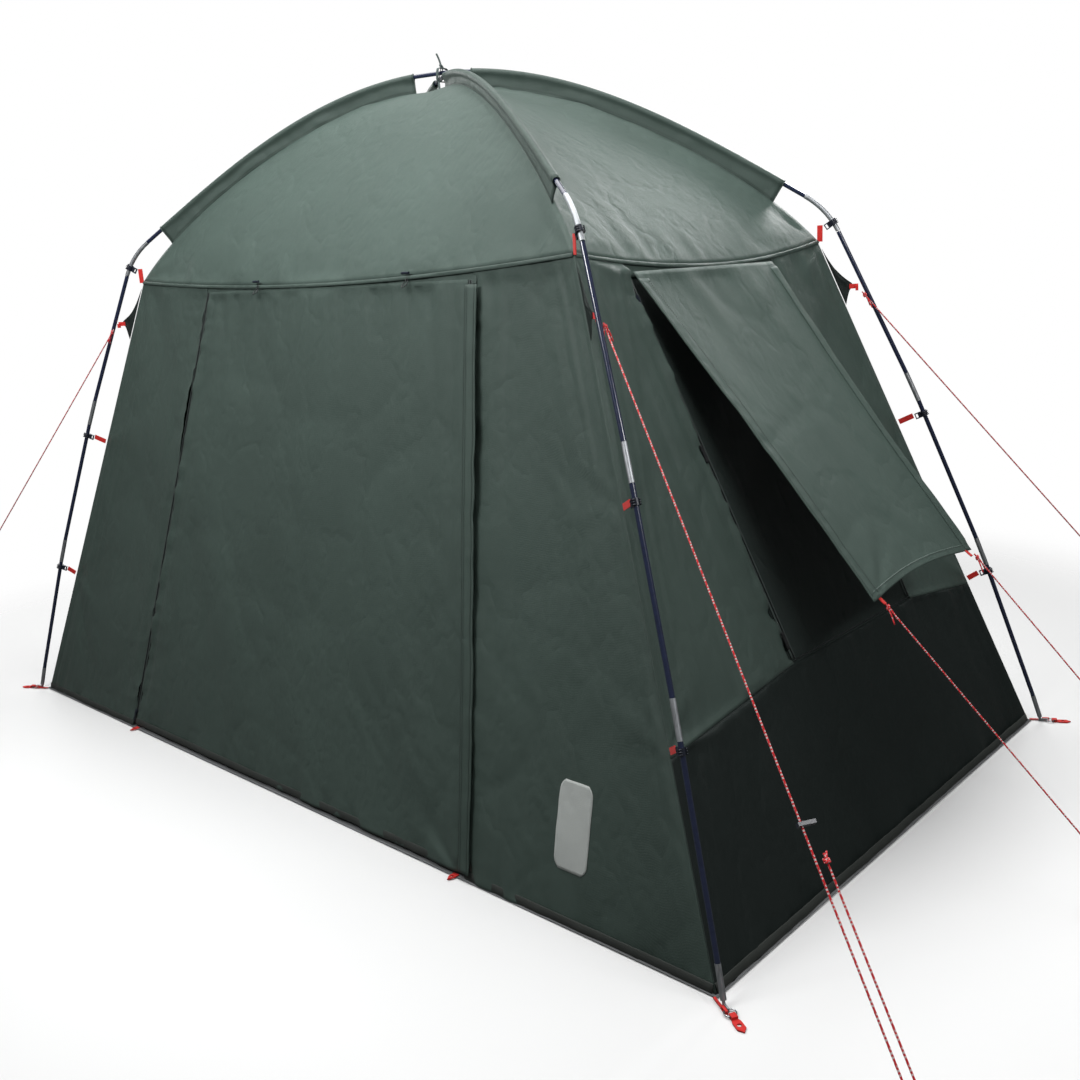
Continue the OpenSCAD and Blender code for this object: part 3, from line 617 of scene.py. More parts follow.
def wall_folds(k, u, z, seed, eave_gather=1.0, hem=1.0):
    """Wrinkles shared by every wall: billow, eave gathers, hem puckers, clip pulls."""
    below = eave_at(k, u) - z
    w = 0.0064 * noise(u / 0.42, z / 0.65, seed)
    w = w + 0.0030 * noise((u + 0.35 * z) / 0.13, (z - 0.35 * u) / 0.8, seed + 1)
    patchy = 0.4 + 0.6 * noise(u / 0.5, z / 0.5, seed + 10) ** 2
    w = w + 0.0012 * noise(u / 0.050, z / 0.11, seed + 9) * patchy
    w = w + 0.0052 * eave_gather * near(below, 0.11) * noise(u / 0.045, z / 0.35, seed + 2)
    w = w + 0.0026 * eave_gather * near(below, 0.05) * noise(u / 0.018, z / 0.2, seed + 3)
    w = w + 0.0042 * hem * near(z, 0.08) * noise(u / 0.060, z / 0.25, seed + 4)
    w = w + 0.0016 * hem * near(z, 0.04) * noise(u / 0.020, z / 0.2, seed + 12)
    # the corner seam, and slack folds that run down beside it from clip to clip
    edge = side_u(k, z) - np.abs(u)
    w = w + 0.0024 * near(edge - 0.022, 0.004)
    w = w + 0.0050 * near(edge, 0.075) * noise(edge / 0.017, z / 0.42, seed + 13)
    patchy = noise(u / 0.25, z / 0.25, seed + 15) ** 2
    w = w + 0.0020 * noise((u + z) / 0.036, (u - z) / 0.19, seed + 14) * patchy
    w = w - 0.0030 * crease((u * 0.9 + z * 0.5) / 0.30, (z * 0.9 - u * 0.5) / 0.45, seed + 5)
    w = w - 0.0022 * crease((u - z * 0.6) / 0.21, (z + u * 0.6) / 0.30, seed + 11)
    for side in (-1, 1):
        for i, cz in enumerate(CLIP_Z):
            at = (side * side_u(k, cz), cz)
            w = w + (0.0110, 0.0075, 0.0075)[i] * rays(u, z, at, 10, 0.17, seed + 6 + i)
    return w


def zip_folds(u, z, line, seed, amount=1.0):
    d = np.abs(u - zip_u(line, z)) - ZIP
    w = 0.0056 * near(d, 0.026) * noise(z / 0.030, d / 0.05, seed)
    w = w + 0.0024 * near(d, 0.060) * noise(z / 0.016, d / 0.09, seed + 2)
    w = w + 0.0060 * near(d, 0.10) * noise(d / 0.030, z / 0.55, seed + 1)
    return amount * w


def corner_side(k, side, z):
    return side * (side_u(k, z) - SEAM)


def front_half(name, side, line, seed):
    """The front wall between the door's zip and a corner."""
    edge = [(zip_u(line, GROUND_Z) + side * ZIP, GROUND_Z),
            (zip_u(line, 1.49) + side * ZIP, 1.49)]
    outer = [(corner_side(FRONT, side, GROUND_Z), GROUND_Z),
             (side * (EAVE_X - SEAM), EAVE_Z)]
    left, right = (outer, edge) if side < 0 else (edge, outer)
    cut = panel_grid(left[0], right[0], left[1], right[1], top=eave_low(FRONT))
    u, z, s, t = cut
    disp = wall_folds(FRONT, u, z, seed) + zip_folds(u, z, line, seed + 20)
    disp = disp - 0.010 * bulge(s, t)
    mask = edge_mask(s, t, left=0.06 if side < 0 else 0.0, right=0.06 if side > 0 else 0.0,
                     low=0.0, high=0.03)
    return wall_sheet(name + "_cloth", name, FRONT, cut, disp * mask)


front_left = front_half("front_wall_left", -1, DOOR_L, 100)
front_right = front_half("front_wall_right", 1, DOOR_R, 140)

# the back wall, one plain panel
cut = panel_grid((corner_side(BACK, -1, GROUND_Z), GROUND_Z), (corner_side(BACK, 1, GROUND_Z), GROUND_Z),
                 (-(EAVE_X - SEAM), EAVE_Z), (EAVE_X - SEAM, EAVE_Z), top=eave_low(BACK), cell=0.018)
u, z, s, t = cut
disp = wall_folds(BACK, u, z, 180) - 0.014 * bulge(s, t) + 0.0012 * near(u + 0.02, 0.012)
back_wall = wall_sheet("back_wall_cloth", "back_wall", BACK, cut,
                       disp * edge_mask(s, t, low=0.0, high=0.03))


def side_panels(mirrored):
    """The three cloth pieces of a side wall round its window."""
    tag, seed = ("left", 260) if mirrored else ("right", 220)
    sill = WIN_LOW - 0.010
    seam_f = (corner_side(RIGHT, -1, LOWER_SEAM), LOWER_SEAM)
    seam_b = (corner_side(RIGHT, 1, LOWER_SEAM), LOWER_SEAM)

    def piece(node, cut, disp, mat="wall_cloth", **widths):
        wall_sheet(f"{tag}_{node}_cloth", f"{tag}_{node}", RIGHT, cut, disp * edge_mask(*cut[2:], **widths),
                   mat, mirrored=mirrored)

    cut = panel_grid(seam_f, (WIN_F[0][0] - ZIP, sill), (-(EAVE_Y - SEAM), EAVE_Z),
                     (zip_u(WIN_F, 1.50) - ZIP, 1.50), top=eave_low(RIGHT))
    u, z, s, t = cut
    disp = wall_folds(RIGHT, u, z, seed, hem=0) + zip_folds(u, z, WIN_F, seed + 20) - 0.008 * bulge(s, t)
    disp = disp + 0.0045 * near(t, 0.06) * noise(u / 0.026, z / 0.1, seed + 30)
    piece("wall_front", cut, disp, right=0.0, low=0.02, high=0.03)

    cut = panel_grid((WIN_B[0][0] + ZIP, sill), seam_b, (zip_u(WIN_B, 1.49) + ZIP, 1.49),
                     (EAVE_Y - SEAM, EAVE_Z), top=eave_low(RIGHT))
    u, z, s, t = cut
    disp = wall_folds(RIGHT, u, z, seed + 1, hem=0) + zip_folds(u, z, WIN_B, seed + 21, 0.7)
    piece("wall_back", cut, disp - 0.008 * bulge(s, t), left=0.0, low=0.02, high=0.03)

    def lower_top(u):
        half = side_u(RIGHT, LOWER_SEAM)
        return np.interp(u, [-half, WIN_F[0][0] - ZIP, WIN_B[0][0] + ZIP, half],
                         [LOWER_SEAM, sill, sill, LOWER_SEAM]) - 0.001

    cut = panel_grid((corner_side(RIGHT, -1, GROUND_Z), GROUND_Z),
                     (corner_side(RIGHT, 1, GROUND_Z), GROUND_Z), seam_f, seam_b, top=lower_top)
    u, z, s, t = cut
    disp = wall_folds(RIGHT, u, z, seed + 2, eave_gather=0) - 0.006 * bulge(s, t)
    disp = disp + 0.0060 * near(1 - t, 0.20) * noise(u / 0.040, z / 0.3, seed + 31)
    disp = disp + 0.0024 * near(1 - t, 0.12) * noise(u / 0.016, z / 0.3, seed + 32)
    piece("wall_lower", cut, disp, "dark_cloth", low=0.0, high=0.02)


side_panels(False)
side_panels(True)

# insect mesh in both windows; each net is one grid, and both stand for the node
for tag, mirror in (("right", 1), ("left", -1)):
    cut = panel_grid((WIN_F[0][0] - 0.012, WIN_LOW - 0.022), (WIN_B[0][0] + 0.012, WIN_LOW - 0.022),
                     (WIN_F[1][0] - 0.012, WIN_TOP + 0.01), (WIN_B[1][0] + 0.012, WIN_TOP + 0.01), cell=0.018)
    u, z, s, t = cut
    w = -0.006 - 0.010 * bulge(s, t) + 0.003 * noise(u / 0.12, z / 0.4, 300)
    grid, flat = face_point(RIGHT, u, z, w), face_point(RIGHT, u, z, 0)
    grid, flat = grid * (mirror, 1, 1), flat * (mirror, 1, 1)
    net = cloth_grid(f"window_net_{tag}", grid, "mesh_cloth", "tent", 0.0006, flip=mirror < 0)
    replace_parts(net, "window_meshes")
    declare_sheet(flat)

# the groundsheet, faintly rucked
x, y = np.meshgrid(np.linspace(-BASE_X - 0.006, BASE_X + 0.006, 120),
                   np.linspace(-BASE_Y - 0.006, BASE_Y + 0.006, 70))
ruck = 0.0026 + 0.0016 * noise(x / 0.3, y / 0.22, 320) + 0.0012 * crease(x / 0.5, y / 0.35, 321)
flat = np.stack([x, y, np.full_like(x, 0.001)], -1)
sheet_grid = np.stack([x, y, np.clip(ruck, 0.0014, 0.008)], -1)
ground = cloth_grid("groundsheet_cloth", sheet_grid, "groundsheet", "tent", 0.0008)
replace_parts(ground, "groundsheet")
declare_sheet(flat)

# the door: one panel between the zips
edge_z = DOOR_TOP + 0.002
cut = panel_grid((DOOR_L[0][0] + ZIP, DOOR_LOW), (DOOR_R[0][0] - ZIP, DOOR_LOW),
                 (zip_u(DOOR_L, edge_z) + ZIP, edge_z), (zip_u(DOOR_R, edge_z) - ZIP, edge_z))
u, z, s, t = cut
disp = 0.0046 * noise(u / 0.38, z / 0.52, 340)
disp = disp + 0.0032 * noise((u + 0.5 * z) / 0.14, (z - 0.5 * u) / 0.7, 341)
patchy = 0.4 + 0.6 * noise(u / 0.5, z / 0.5, 352) ** 2
disp = disp + 0.0012 * noise(u / 0.052, z / 0.10, 351) * patchy
disp = disp - 0.0030 * crease((u + 0.25 * z) / 0.33, (z - 0.3 * u) / 0.36, 342)
disp = disp - 0.0026 * crease((u - 0.4 * z) / 0.24, (z + 0.2 * u) / 0.33, 343)
# crinkles where the door is pulled towards its low right corner
pulled = np.clip((1.25 - z) / 0.5, 0, 1) * np.clip((u + 0.45) / 0.35, 0, 1)
patchy = noise(u / 0.3, z / 0.3, 355) ** 2
disp = disp + 0.0038 * pulled * noise((u + z) / 0.034, (u - z) / 0.17, 354) * patchy
disp = disp + 0.010 * rays(u, z, (DOOR_R[0][0] - 0.02, DOOR_LOW), 9, 0.22, 356)
disp = disp + 0.008 * rays(u, z, (DOOR_L[0][0] + 0.02, DOOR_LOW), 9, 0.16, 357)
disp = disp + 0.0054 * near(DOOR_TOP - z, 0.12) * noise(u / 0.045, z / 0.35, 344)
disp = disp + 0.0026 * near(DOOR_TOP - z, 0.05) * noise(u / 0.018, z / 0.2, 353)
disp = disp + 0.0040 * near(z, 0.08) * noise(u / 0.055, z / 0.25, 345)
disp = disp + zip_folds(u, z, DOOR_L, 346) + zip_folds(u, z, DOOR_R, 348, 0.5)
for at_u in TOGGLE_U:
    disp = disp + 0.004 * rays(u, z, (at_u, 1.485), 10, 0.10, 350)
disp = disp - 0.008 * bulge(s, t)
disp = disp * edge_mask(s, t, left=0.0, right=0.0, low=0.0, high=0.02)
door = wall_sheet("door_cloth", "door_panel", FRONT, cut, disp, body=None)


def bend_at_door_top(obj):
    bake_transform(obj)


bend_at_door_top(door)


def block(at, axes, size):
    """A small block round a point; axes are its three unit vectors."""
    x, y, z = (vec(a) * d / 2 for a, d in zip(axes, size))
    verts = [vec(at) + x * i + y * j + z * k for i in (-1, 1) for j in (-1, 1) for k in (-1, 1)]
    return verts, ((0, 1, 3, 2), (4, 6, 7, 5), (0, 4, 5, 1), (2, 3, 7, 6), (0, 2, 6, 4), (1, 5, 7, 3))


def finish_piece(name, parts, mat, body, smooth=True):
    obj = make_mesh(name, *joined(parts), mats[mat], smooth)
    if body:
        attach(obj, body)
    return obj


STITCH_PITCH = 0.006
STITCH = (0.0036, 0.0010, 0.0007)


def stitch_run(name, line, out, body):
    """A row of thread stitches along a line of points; out points away from the cloth."""
    line = spline(line, STITCH_PITCH)
    along = unit(np.gradient(line, axis=0))
    out = np.broadcast_to(unit(out), line.shape)
    stitches = [block(at, (t, unit(np.cross(n, t)), n), STITCH) for at, t, n in zip(line, along, out)]
    return finish_piece(name, stitches, "thread", body, smooth=False)


# ------------------------------------------------------------------ the roof
CROWN_R = 0.012
ROOF_CELL = 0.0125


def seam_drop(r):
    """How far the roof's stitched edge hangs below the pole's middle line."""
    return 0.047 + 0.030 * np.exp(-(r / 0.07) ** 2) + (fin(EAVE_R) - 0.047) * (r / EAVE_R) ** 9


def roof_grid(c):
    """The smooth roof panel between the seams of corners c and c + 1."""
    rows = steps(EAVE_R - CROWN_R, ROOF_CELL)
    cols = steps(2 * eave_half(c), ROOF_CELL)
    s, t = np.meshgrid(np.linspace(0, 1, rows), np.linspace(-1, 1, cols), indexing="ij")
    r = CROWN_R + (EAVE_R - CROWN_R) * s
    a, b = (diagonal(corner, r, roof_z(r) - seam_drop(r)) for corner in (c, (c + 1) % 4))
    along = unit((b - a) * (1, 1, 0))
    out = np.stack([along[..., 1], -along[..., 0], np.zeros_like(s)], -1)
    sag = (SAG[c % 2] * s**1.5 * (1 - t * t))[..., None]
    flat = (a + b) / 2 + (b - a) / 2 * t[..., None]
    flat = flat + out * sag * math.tan(LEAN[c % 2]) - (0, 0, 1) * sag
    return flat, s, t


def roof_sheet(c, seed):
    """A roof panel: slack folds, gathers by its seams, pulls at its corners."""
    flat, s, t = roof_grid(c)
    x = t * s * eave_half(c)
    y = (1 - s) * (EAVE_R - CROWN_R)
    normal = np.cross(np.gradient(flat, axis=1), np.gradient(flat, axis=0))
    normal = unit(normal) * np.where(unit(normal)[..., 2:] < 0, -1, 1)
    d_seam = (1 - np.abs(t)) * s * eave_half(c)
    w = 0.0055 * noise(x / 0.40, y / 0.40, seed)
    w = w + 0.0042 * near(d_seam, 0.050) * noise(s * 26, d_seam / 0.06, seed + 1)
    w = w + 0.0050 * near(y, 0.10) * noise(x / 0.05, y / 0.30, seed + 2)
    w = w + 0.0022 * near(y, 0.045) * noise(x / 0.021, y / 0.2, seed + 6)
    w = w + 0.0018 * near(s, 0.22) * noise(np.arctan2(t, 0.4) * 6, s * 2, seed + 3)
    w = w - 0.0022 * crease((x + 0.6 * y) / 0.30, (y - 0.6 * x) / 0.5, seed + 4)
    for side in (-1, 1):
        w = w + 0.014 * rays(x, y, (side * eave_half(c), 0.0), 12, 0.22, seed + 5)
    w = w - 0.010 * np.sin(np.pi * s) * np.cos(np.pi * t / 2)
    mask = edge_mask(s, (t + 1) / 2, left=0.0, right=0.03, low=0.03, high=0.03)
    grid = flat + normal * (w * mask)[..., None]
    name = ("roof_front", "roof_right", "roof_back", "roof_left")[c]
    obj = cloth_grid(name + "_cloth", grid, "roof_cloth", "tent", flip=True)
    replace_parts(obj, name)
    declare_sheet(flat)


for c in range(4):
    roof_sheet(c, 400 + 20 * c)

# eave piping and the hem of the roof that laps over the walls
for k, tag in enumerate(("front", "right", "back", "left")):
    half = eave_half(k) - 0.002
    u = np.linspace(-half, half, steps(2 * half, 0.008))
    rows = []
    for down, w in ((-0.002, -0.0012), (0.0, 0.0003), (0.003, 0.0008), (0.006, 0.0004), (0.0075, -0.0010)):
        wave = 0.0014 * noise(u / 0.02, down / 0.02, 500 + k) + 0.0016 * noise(u / 0.09, 0, 510 + k)
        rows.append(face_point(k, u, eave_at(k, u) - down, w + 0.0015 + wave * (down > 0)))
    sew(f"roof_{tag}_cloth", cloth_grid(f"{tag}_eave_piping", np.stack(rows), "wall_cloth", "tent",
                                        0.0009, flip=False))

# ---------------------------------------------------------------- pole sleeves
SLEEVE_FROM = (0.095, 0.034, 0.095, 0.095)
SLEEVE_R = 0.0092
SLEEVE_ROUND = 0.42                 # this share of the outline wraps the pole
SLEEVE_WRAP = math.radians(128)


def cross_dip(c, r):
    """How far one roof pole passes under the other."""
    return 0.0135 * (1 - (r / ARC_END_R) ** 2) if c % 2 else 0.0 * r


def sleeve(c):
    """Cloth wrapped round the pole and stitched down to the roof seam."""
    r = np.linspace(SLEEVE_FROM[c], ARC_END_R - 0.062, steps(ARC_END_R - 0.16, 0.012))
    slope = np.arctan(roof_slope(r))
    path = diagonal(c, r, roof_z(r) - cross_dip(c, r))
    down = np.stack([-SIGNS[c][0] * DIAG[0] * np.sin(slope), -SIGNS[c][1] * DIAG[1] * np.sin(slope),
                     -np.cos(slope)], -1)
    side = np.array([-SIGNS[c][1] * DIAG[1], SIGNS[c][0] * DIAG[0], 0.0])
    depth = (seam_drop(r) - cross_dip(c, r)) * np.cos(slope) + 0.002
    seed = 540 + c
    # outline from one side of the fin, over the pole, to the other side
    q, deep = np.meshgrid(np.linspace(-1, 1, 33), depth)
    a = np.abs(q)
    ang = np.minimum(a / SLEEVE_ROUND, 1) * SLEEVE_WRAP
    f = np.clip((a - SLEEVE_ROUND) / (1 - SLEEVE_ROUND), 0, 1)
    dn = -SLEEVE_R * np.cos(ang)
    dn = dn + f * (deep - dn)
    lat = SLEEVE_R * np.sin(ang)
    narrow = 0.0011 + (lat - 0.0011) * np.maximum(0, 1 - f / 0.30) ** 1.6
    lat = np.copysign(np.where(f > 0, narrow, lat), q)
    far = np.clip((dn - 0.010) / 0.012, 0, 1)
    low = np.clip((depth[:, None] - dn) / 0.012, 0, 1)
    pos = np.broadcast_to(r[:, None], lat.shape)
    sway = 0.0035 * noise(pos / 0.085, dn / 0.05, seed) * far * low
    sway = sway + 0.0026 * noise(pos / 0.022, dn / 0.06 + pos, seed + 1) * far * low
    lat = lat + sway
    dn = dn + 0.0012 * noise(pos / 0.05, lat * 0 + 3, seed + 2) * far * low
    puff = 1 + 0.05 * noise(pos / 0.03, a * 3, seed + 3) * (1 - far)
    points = path[:, None] + side * (lat * puff)[..., None] + down[:, None] * dn[..., None]
    obj = cloth_grid(f"sleeve_{CORNERS[c]}_cloth", points, "sleeve_cloth", "tent", 0.0008,
                     flip=c % 2 == 0)
    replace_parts(obj, f"sleeve_{CORNERS[c]}")
    declare_sheet(points)
    for tag, col, way in (("a", 2, -1), ("b", -3, 1)):
        sew(obj, stitch_run(f"sleeve_{CORNERS[c]}_stitches_{tag}", points[:, col] + side * way * 0.0011,
                            side * way, "tent"))
    # a turned-back hem round each mouth
    for tag, row in (("high", 0), ("low", -1)):
        sew(obj, finish_piece(f"sleeve_{CORNERS[c]}_mouth_{tag}", [tube(points[row], 0.0017, 6)],
                              "sleeve_cloth", "tent"))


for c in range(4):
    sleeve(c)


# ------------------------------------------------------------ small pieces
def ribbon_solid(line, across, width, thickness=0.0012):
    """A flat tape along a line; across gives its width direction at each point."""
    line, across = vec(line), unit(across)
    across = np.broadcast_to(across, line.shape)
    tangent = unit(np.gradient(line, axis=0))
    normal = unit(np.cross(tangent, across))
    profile = [(-0.5, -0.5), (-0.44, -0.62), (0.44, -0.62), (0.5, -0.5), (0.5, 0.5), (0.44, 0.62),
               (-0.44, 0.62), (-0.5, 0.5)]
    width = np.broadcast_to(vec(width), (len(line),))
    ring = [line + across * (px * width)[:, None] + normal * (py * thickness) for px, py in profile]
    verts = np.stack(ring, 1).reshape(-1, 3)
    return verts, tube_faces(len(line), len(profile))


def knot_ball(at, axis, size):
    """A small overhand knot: two crossed turns of rope round its own strand."""
    parts = []
    a = unit(axis)
    b = unit(np.cross(a, (0.2, 0.3, 0.93)))
    c = np.cross(a, b)
    t = np.linspace(0, 2 * np.pi, 30)
    for phase in (0.0, 1.2):
        line = (vec(at) + np.outer(np.cos(t) * size, b) + np.outer(np.sin(t) * size, c)
                + np.outer(np.sin(t + phase) * size * 0.9, a))
        parts.append(tube(line, 0.0019, 7))
    return joined(parts)


def tail(at, direction, length, droop):
    """A short rope end that curls down."""
    d = unit(direction)
    t = np.linspace(0, 1, 12)[:, None]
    line = vec(at) + d * t * length + np.array([0, 0, -1.0]) * droop * t**2
    radius = np.full(12, 0.0019)
    radius[-1] = 0.0012
    return tube(line, radius, 7)


# rope knots at the top, at the ground loop's end and their tails
for name, (rope, line) in ropes.items():
    body = "awning_ropes" if name.startswith("awning") else "tent"
    down = unit(line[6] - line[0])
    back_up = unit(line[-1] - line[-7])
    parts = [knot_ball(line[4], down, 0.0046), knot_ball(line[-5], back_up, 0.0046)]
    swing = unit(np.cross(down, (0, 0, 1)))
    for way, long in ((-1, 0.026), (1, 0.034)):
        parts.append(tail(line[4] + 0.003 * way * swing, down + 0.30 * way * swing, long, 0.014))
    parts.append(tail(line[-5], back_up + 0.4 * unit(np.cross(back_up, (0, 0, 1))), 0.024, 0.008))
    knots = finish_piece(name + "_knots", parts, "rope_red", body)
    knots.data.materials.append(mats["rope_white"])
    for n, poly in enumerate(knots.data.polygons):
        if len(poly.vertices) == 4 and n % 9 == 0:
            poly.material_index = 1

# CAD pieces that stay, with their materials
SHOWN = {
    "pole": ["roof_pole_front_left_back_right", "roof_pole_front_right_back_left",
             *(f"leg_pole_{corner}" for corner in CORNERS)],
    "silver_metal": ["pole_elbows", "pole_ferrules", "foot_tips", "foot_pins"],
    "shock_cord": ["shock_cords"],
    "steel_wire": ["corner_rings"],
    "red_webbing": ["clip_straps", "corner_webbing", "door_peg_loops", "guy_tabs"],
    "black_plastic": ["pole_clips", *(f"guy_runner_{corner}" for corner in CORNERS),
                      *(f"{what}_{side}" for what in ("door_slider", "door_toggle", "window_slider")
                        for side in ("left", "right"))],
}
for mat, node in ((mat, node) for mat, nodes in SHOWN.items() for node in nodes):
    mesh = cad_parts[node].data
    mesh.materials.clear()
    mesh.materials.append(mats[mat])
    mesh.polygons.foreach_set("material_index", [0] * len(mesh.polygons))
    mesh.polygons.foreach_set("use_smooth", [True] * len(mesh.polygons))
    mesh.set_sharp_from_angle(angle=math.radians(38))


# ------------------------------------------------- laying pieces on the cloth
def surface_of(*objs):
    verts, faces = [], []
    for o in objs:
        start = len(verts)
        verts += [tuple(v.co) for v in o.data.vertices]
        faces += [tuple(start + i for i in p.vertices) for p in o.data.polygons]
    return BVHTree.FromPolygons(verts, faces)


def laid_on(tree, k, u, z, lift):
    """Points of face k moved onto the cloth's surface, lift outside it."""
    u, z, lift = np.broadcast_arrays(vec(u), vec(z), vec(lift))
    base = face_point(k, u, z, 0.0)
    n = unit(face_point(k, 0.0, 0.0, 1.0) - face_point(k, 0.0, 0.0, 0.0))
    out = np.empty(base.shape)
    for i in np.ndindex(u.shape):
        hit = tree.ray_cast(Vector(base[i] + n * 0.12), Vector(-n), 0.25)[0]
        at = vec(hit) if hit is not None else base[i]
        out[i] = at + n * lift[i]
    return out


# ------------------------------------------------------- headers under the eave
def header(name, k, u0, u1, low, mirrored=False):
    """The strip of wall between an opening and the eave."""
    cut = panel_grid((u0, low), (u1, low), (u0, EAVE_Z), (u1, EAVE_Z), top=eave_low(k), cell=0.010)
    u, z, s, t = cut
    w = -0.0035 + 0.0012 * noise(u / 0.05, z / 0.03, 600 + k)
    grid = face_point(k, u, z, w)
    if mirrored:
        grid = grid * MIRROR
    return cloth_grid(name, grid, "wall_cloth", "tent", 0.0009, flip=mirrored)


sew(front_left, header("front_header_cloth", FRONT, DOOR_L[1][0] - 0.02, DOOR_R[1][0] + 0.02,
                       DOOR_TOP - 0.010))
for tag in ("right", "left"):
    sew(f"{tag}_wall_front_cloth",
        header(f"{tag}_header_cloth", RIGHT, WIN_F[1][0] - 0.02, WIN_B[1][0] + 0.02,
               WIN_TOP - 0.006, mirrored=tag == "left"))

# ------------------------------------------------------------ the door's flap
FLAP_WIDE = 0.048
flap_low, flap_top = DOOR_R[0][0] + ZIP, DOOR_R[1][0] + ZIP
line = spline([(flap_low, 0.020, 0), (flap_low - 0.0475, 0.52, 0), (flap_top + 0.045, 0.98, 0),
               (flap_top, 1.464, 0)], 0.010)[:, :2]
q = np.linspace(0, 1, 15)[None]
z = line[:, 1][:, None]
across = FLAP_WIDE * (q - 0.5)
wob = 0.0022 * noise(z / 0.045, q * 2.0, 620) + 0.0030 * noise(z / 0.30, q * 1.5, 621)
flare = 0.006 * np.exp(-z / 0.05) * q
# up over the slider's path, then down a little to the free edge
rise = 0.0012 + 0.0078 * np.sin(np.pi / 2 * np.clip(q / 0.22, 0, 1)) * (1 - 0.3 * np.clip(2 * q - 1, 0, 1))
u = line[:, 0][:, None] + across + 0.0025 * noise(z / 0.06, 0, 622) * q
flap_grid = face_point(FRONT, u, z + 0 * u, rise + wob * q * 0.6 + flare + 0.0010)
flap = cloth_grid("door_flap_cloth", flap_grid, "wall_cloth", None, 0.0011)
flap_flat = face_point(FRONT, line[:, 0][:, None] + across, z + 0 * across, 0.008)
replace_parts(flap, "door_zip_flap")
declare_sheet(flap_flat)
bend_at_door_top(flap)
outward = unit(face_point(FRONT, 0, 0, 1) - face_point(FRONT, 0, 0, 0))
roll_line = flap_grid[:, -1] + outward * 0.0012
roll_r = 0.0024 * (1 + 0.30 * noise(roll_line[:, 2] / 0.022, 0, 623))
roll = finish_piece("door_flap_roll", [tube(roll_line, roll_r, 9)], "wall_cloth", None)
bend_at_door_top(sew(flap, roll))
for tag, col in (("a", 3), ("b", 5), ("c", 12)):
    bend_at_door_top(sew(flap, stitch_run(f"door_flap_stitches_{tag}", flap_grid[:, col] + outward * 0.0012,
                                          outward, None)))


# --------------------------------------------------------- zips: tape and coil
COIL_PITCH = 0.0016


def zip_parts(tag, k, ends, cloth, mirrored=False):
    """Woven tape with a nylon coil along its middle."""
    a, b = vec(ends[0]), vec(ends[1])
    m = MIRROR if mirrored else (1, 1, 1)
    uz = a + (b - a) * np.linspace(0, 1, steps(np.linalg.norm(b - a), 0.012))[:, None]
    q = np.linspace(-1, 1, 6)
    u, z = uz[:, :1] + q * ZIP * 1.1, uz[:, 1:] + 0 * q
    grid = face_point(k, u, z, -0.0028 + 0.0003 * noise(z / 0.02, q * 2, 640))
    tape = cloth_grid(f"{tag}_tape", grid * m, "zip_tape", "tent", 0.0006, flip=mirrored)
    count = int(np.linalg.norm(b - a) / COIL_PITCH)
    uz = a + (b - a) * np.linspace(0, 1, count)[:, None]
    zigzag = np.where(np.arange(count) % 2, 1, -1)
    line = face_point(k, uz[:, 0] + 0.0007 * zigzag, uz[:, 1], -0.0006) * m
    coil = finish_piece(f"{tag}_coil", [tube(line, 0.0013 + 0.0003 * zigzag, 5)], "zip_coil",
                        "tent")
    sew(cloth, tape, coil)
    return tape


for tag, ends in (("door_zip_left", DOOR_L), ("door_zip_right", DOOR_R)):
    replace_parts(zip_parts(tag, FRONT, ends, front_left if "left" in tag else front_right), "door_zip_tapes")
for tag, flip in (("window_zip_right", False), ("window_zip_left", True)):
    hand = "left" if flip else "right"
    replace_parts(zip_parts(tag, RIGHT, WIN_F, f"{hand}_wall_front_cloth", flip), "window_zip_tapes")
    zip_parts(tag + "_back", RIGHT, WIN_B, f"{hand}_wall_back_cloth", flip)
    zip_parts(tag + "_low", RIGHT, ((WIN_F[0][0], WIN_LOW - 0.004), (WIN_B[0][0], WIN_LOW - 0.004)),
              f"{hand}_wall_lower_cloth", flip)

# ---------------------------------------------------------------- the awning
AWN_OPEN = math.radians(14)
AWN_S0 = (WIN_TOP + 0.006) / math.cos(LEAN[1])
AWN_L = 0.965
AWN_LIFT = 0.009
AWN_PULLS = (-0.165, 0.345)         # where its ropes are tied, along the low hem


def awning_point(x, y, out):
    """From the awning's own axes: x along its hinge, y up its slope, out of it."""
    x, y, out = np.broadcast_arrays(vec(x), vec(y), vec(out))
    slope = AWN_S0 + y * math.cos(AWN_OPEN) + out * math.sin(AWN_OPEN)
    w = AWN_LIFT - y * math.sin(AWN_OPEN) + out * math.cos(AWN_OPEN)
    return face_point(RIGHT, x, slope * math.cos(LEAN[1]), w)


t, s = np.meshgrid(np.linspace(0, 1, 84), np.linspace(0, 1, 54), indexing="ij")
x_front, x_back = -0.380 + 0.180 * t, 0.252 + 0.118 * t
x = x_front + (x_back - x_front) * s
y = -0.004 - (AWN_L - 0.004) * t
hollow = np.sin(np.pi * s)
y_bent = y + 0.024 * hollow * t**3
x_bent = x + 0.010 * np.sin(np.pi * t) * (1 - 2 * s)
out = -0.016 * hollow * np.sin(np.pi * t) ** 0.8
out = out + 0.0050 * noise(s * 2.3, t * 1.8, 660)
out = out + 0.0034 * noise((x + 0.25 * y) / 0.075, y / 0.60, 661)
out = out - 0.0022 * crease((x + 0.5 * y) / 0.24, (y - 0.3 * x) / 0.30, 662)
for cx in AWN_PULLS:
    out = out + 0.0075 * rays(x, y, (cx, -AWN_L), 10, 0.20, 663)
for cx in (-0.38, 0.252):
    out = out + 0.0060 * rays(x, y, (cx, 0.0), 10, 0.14, 664)
out = out + 0.0040 * near(-y, 0.09) * noise(x / 0.045, y / 0.3, 665)
out = out + 0.0030 * near(s, 0.03) * noise(t * 14, 0, 666)
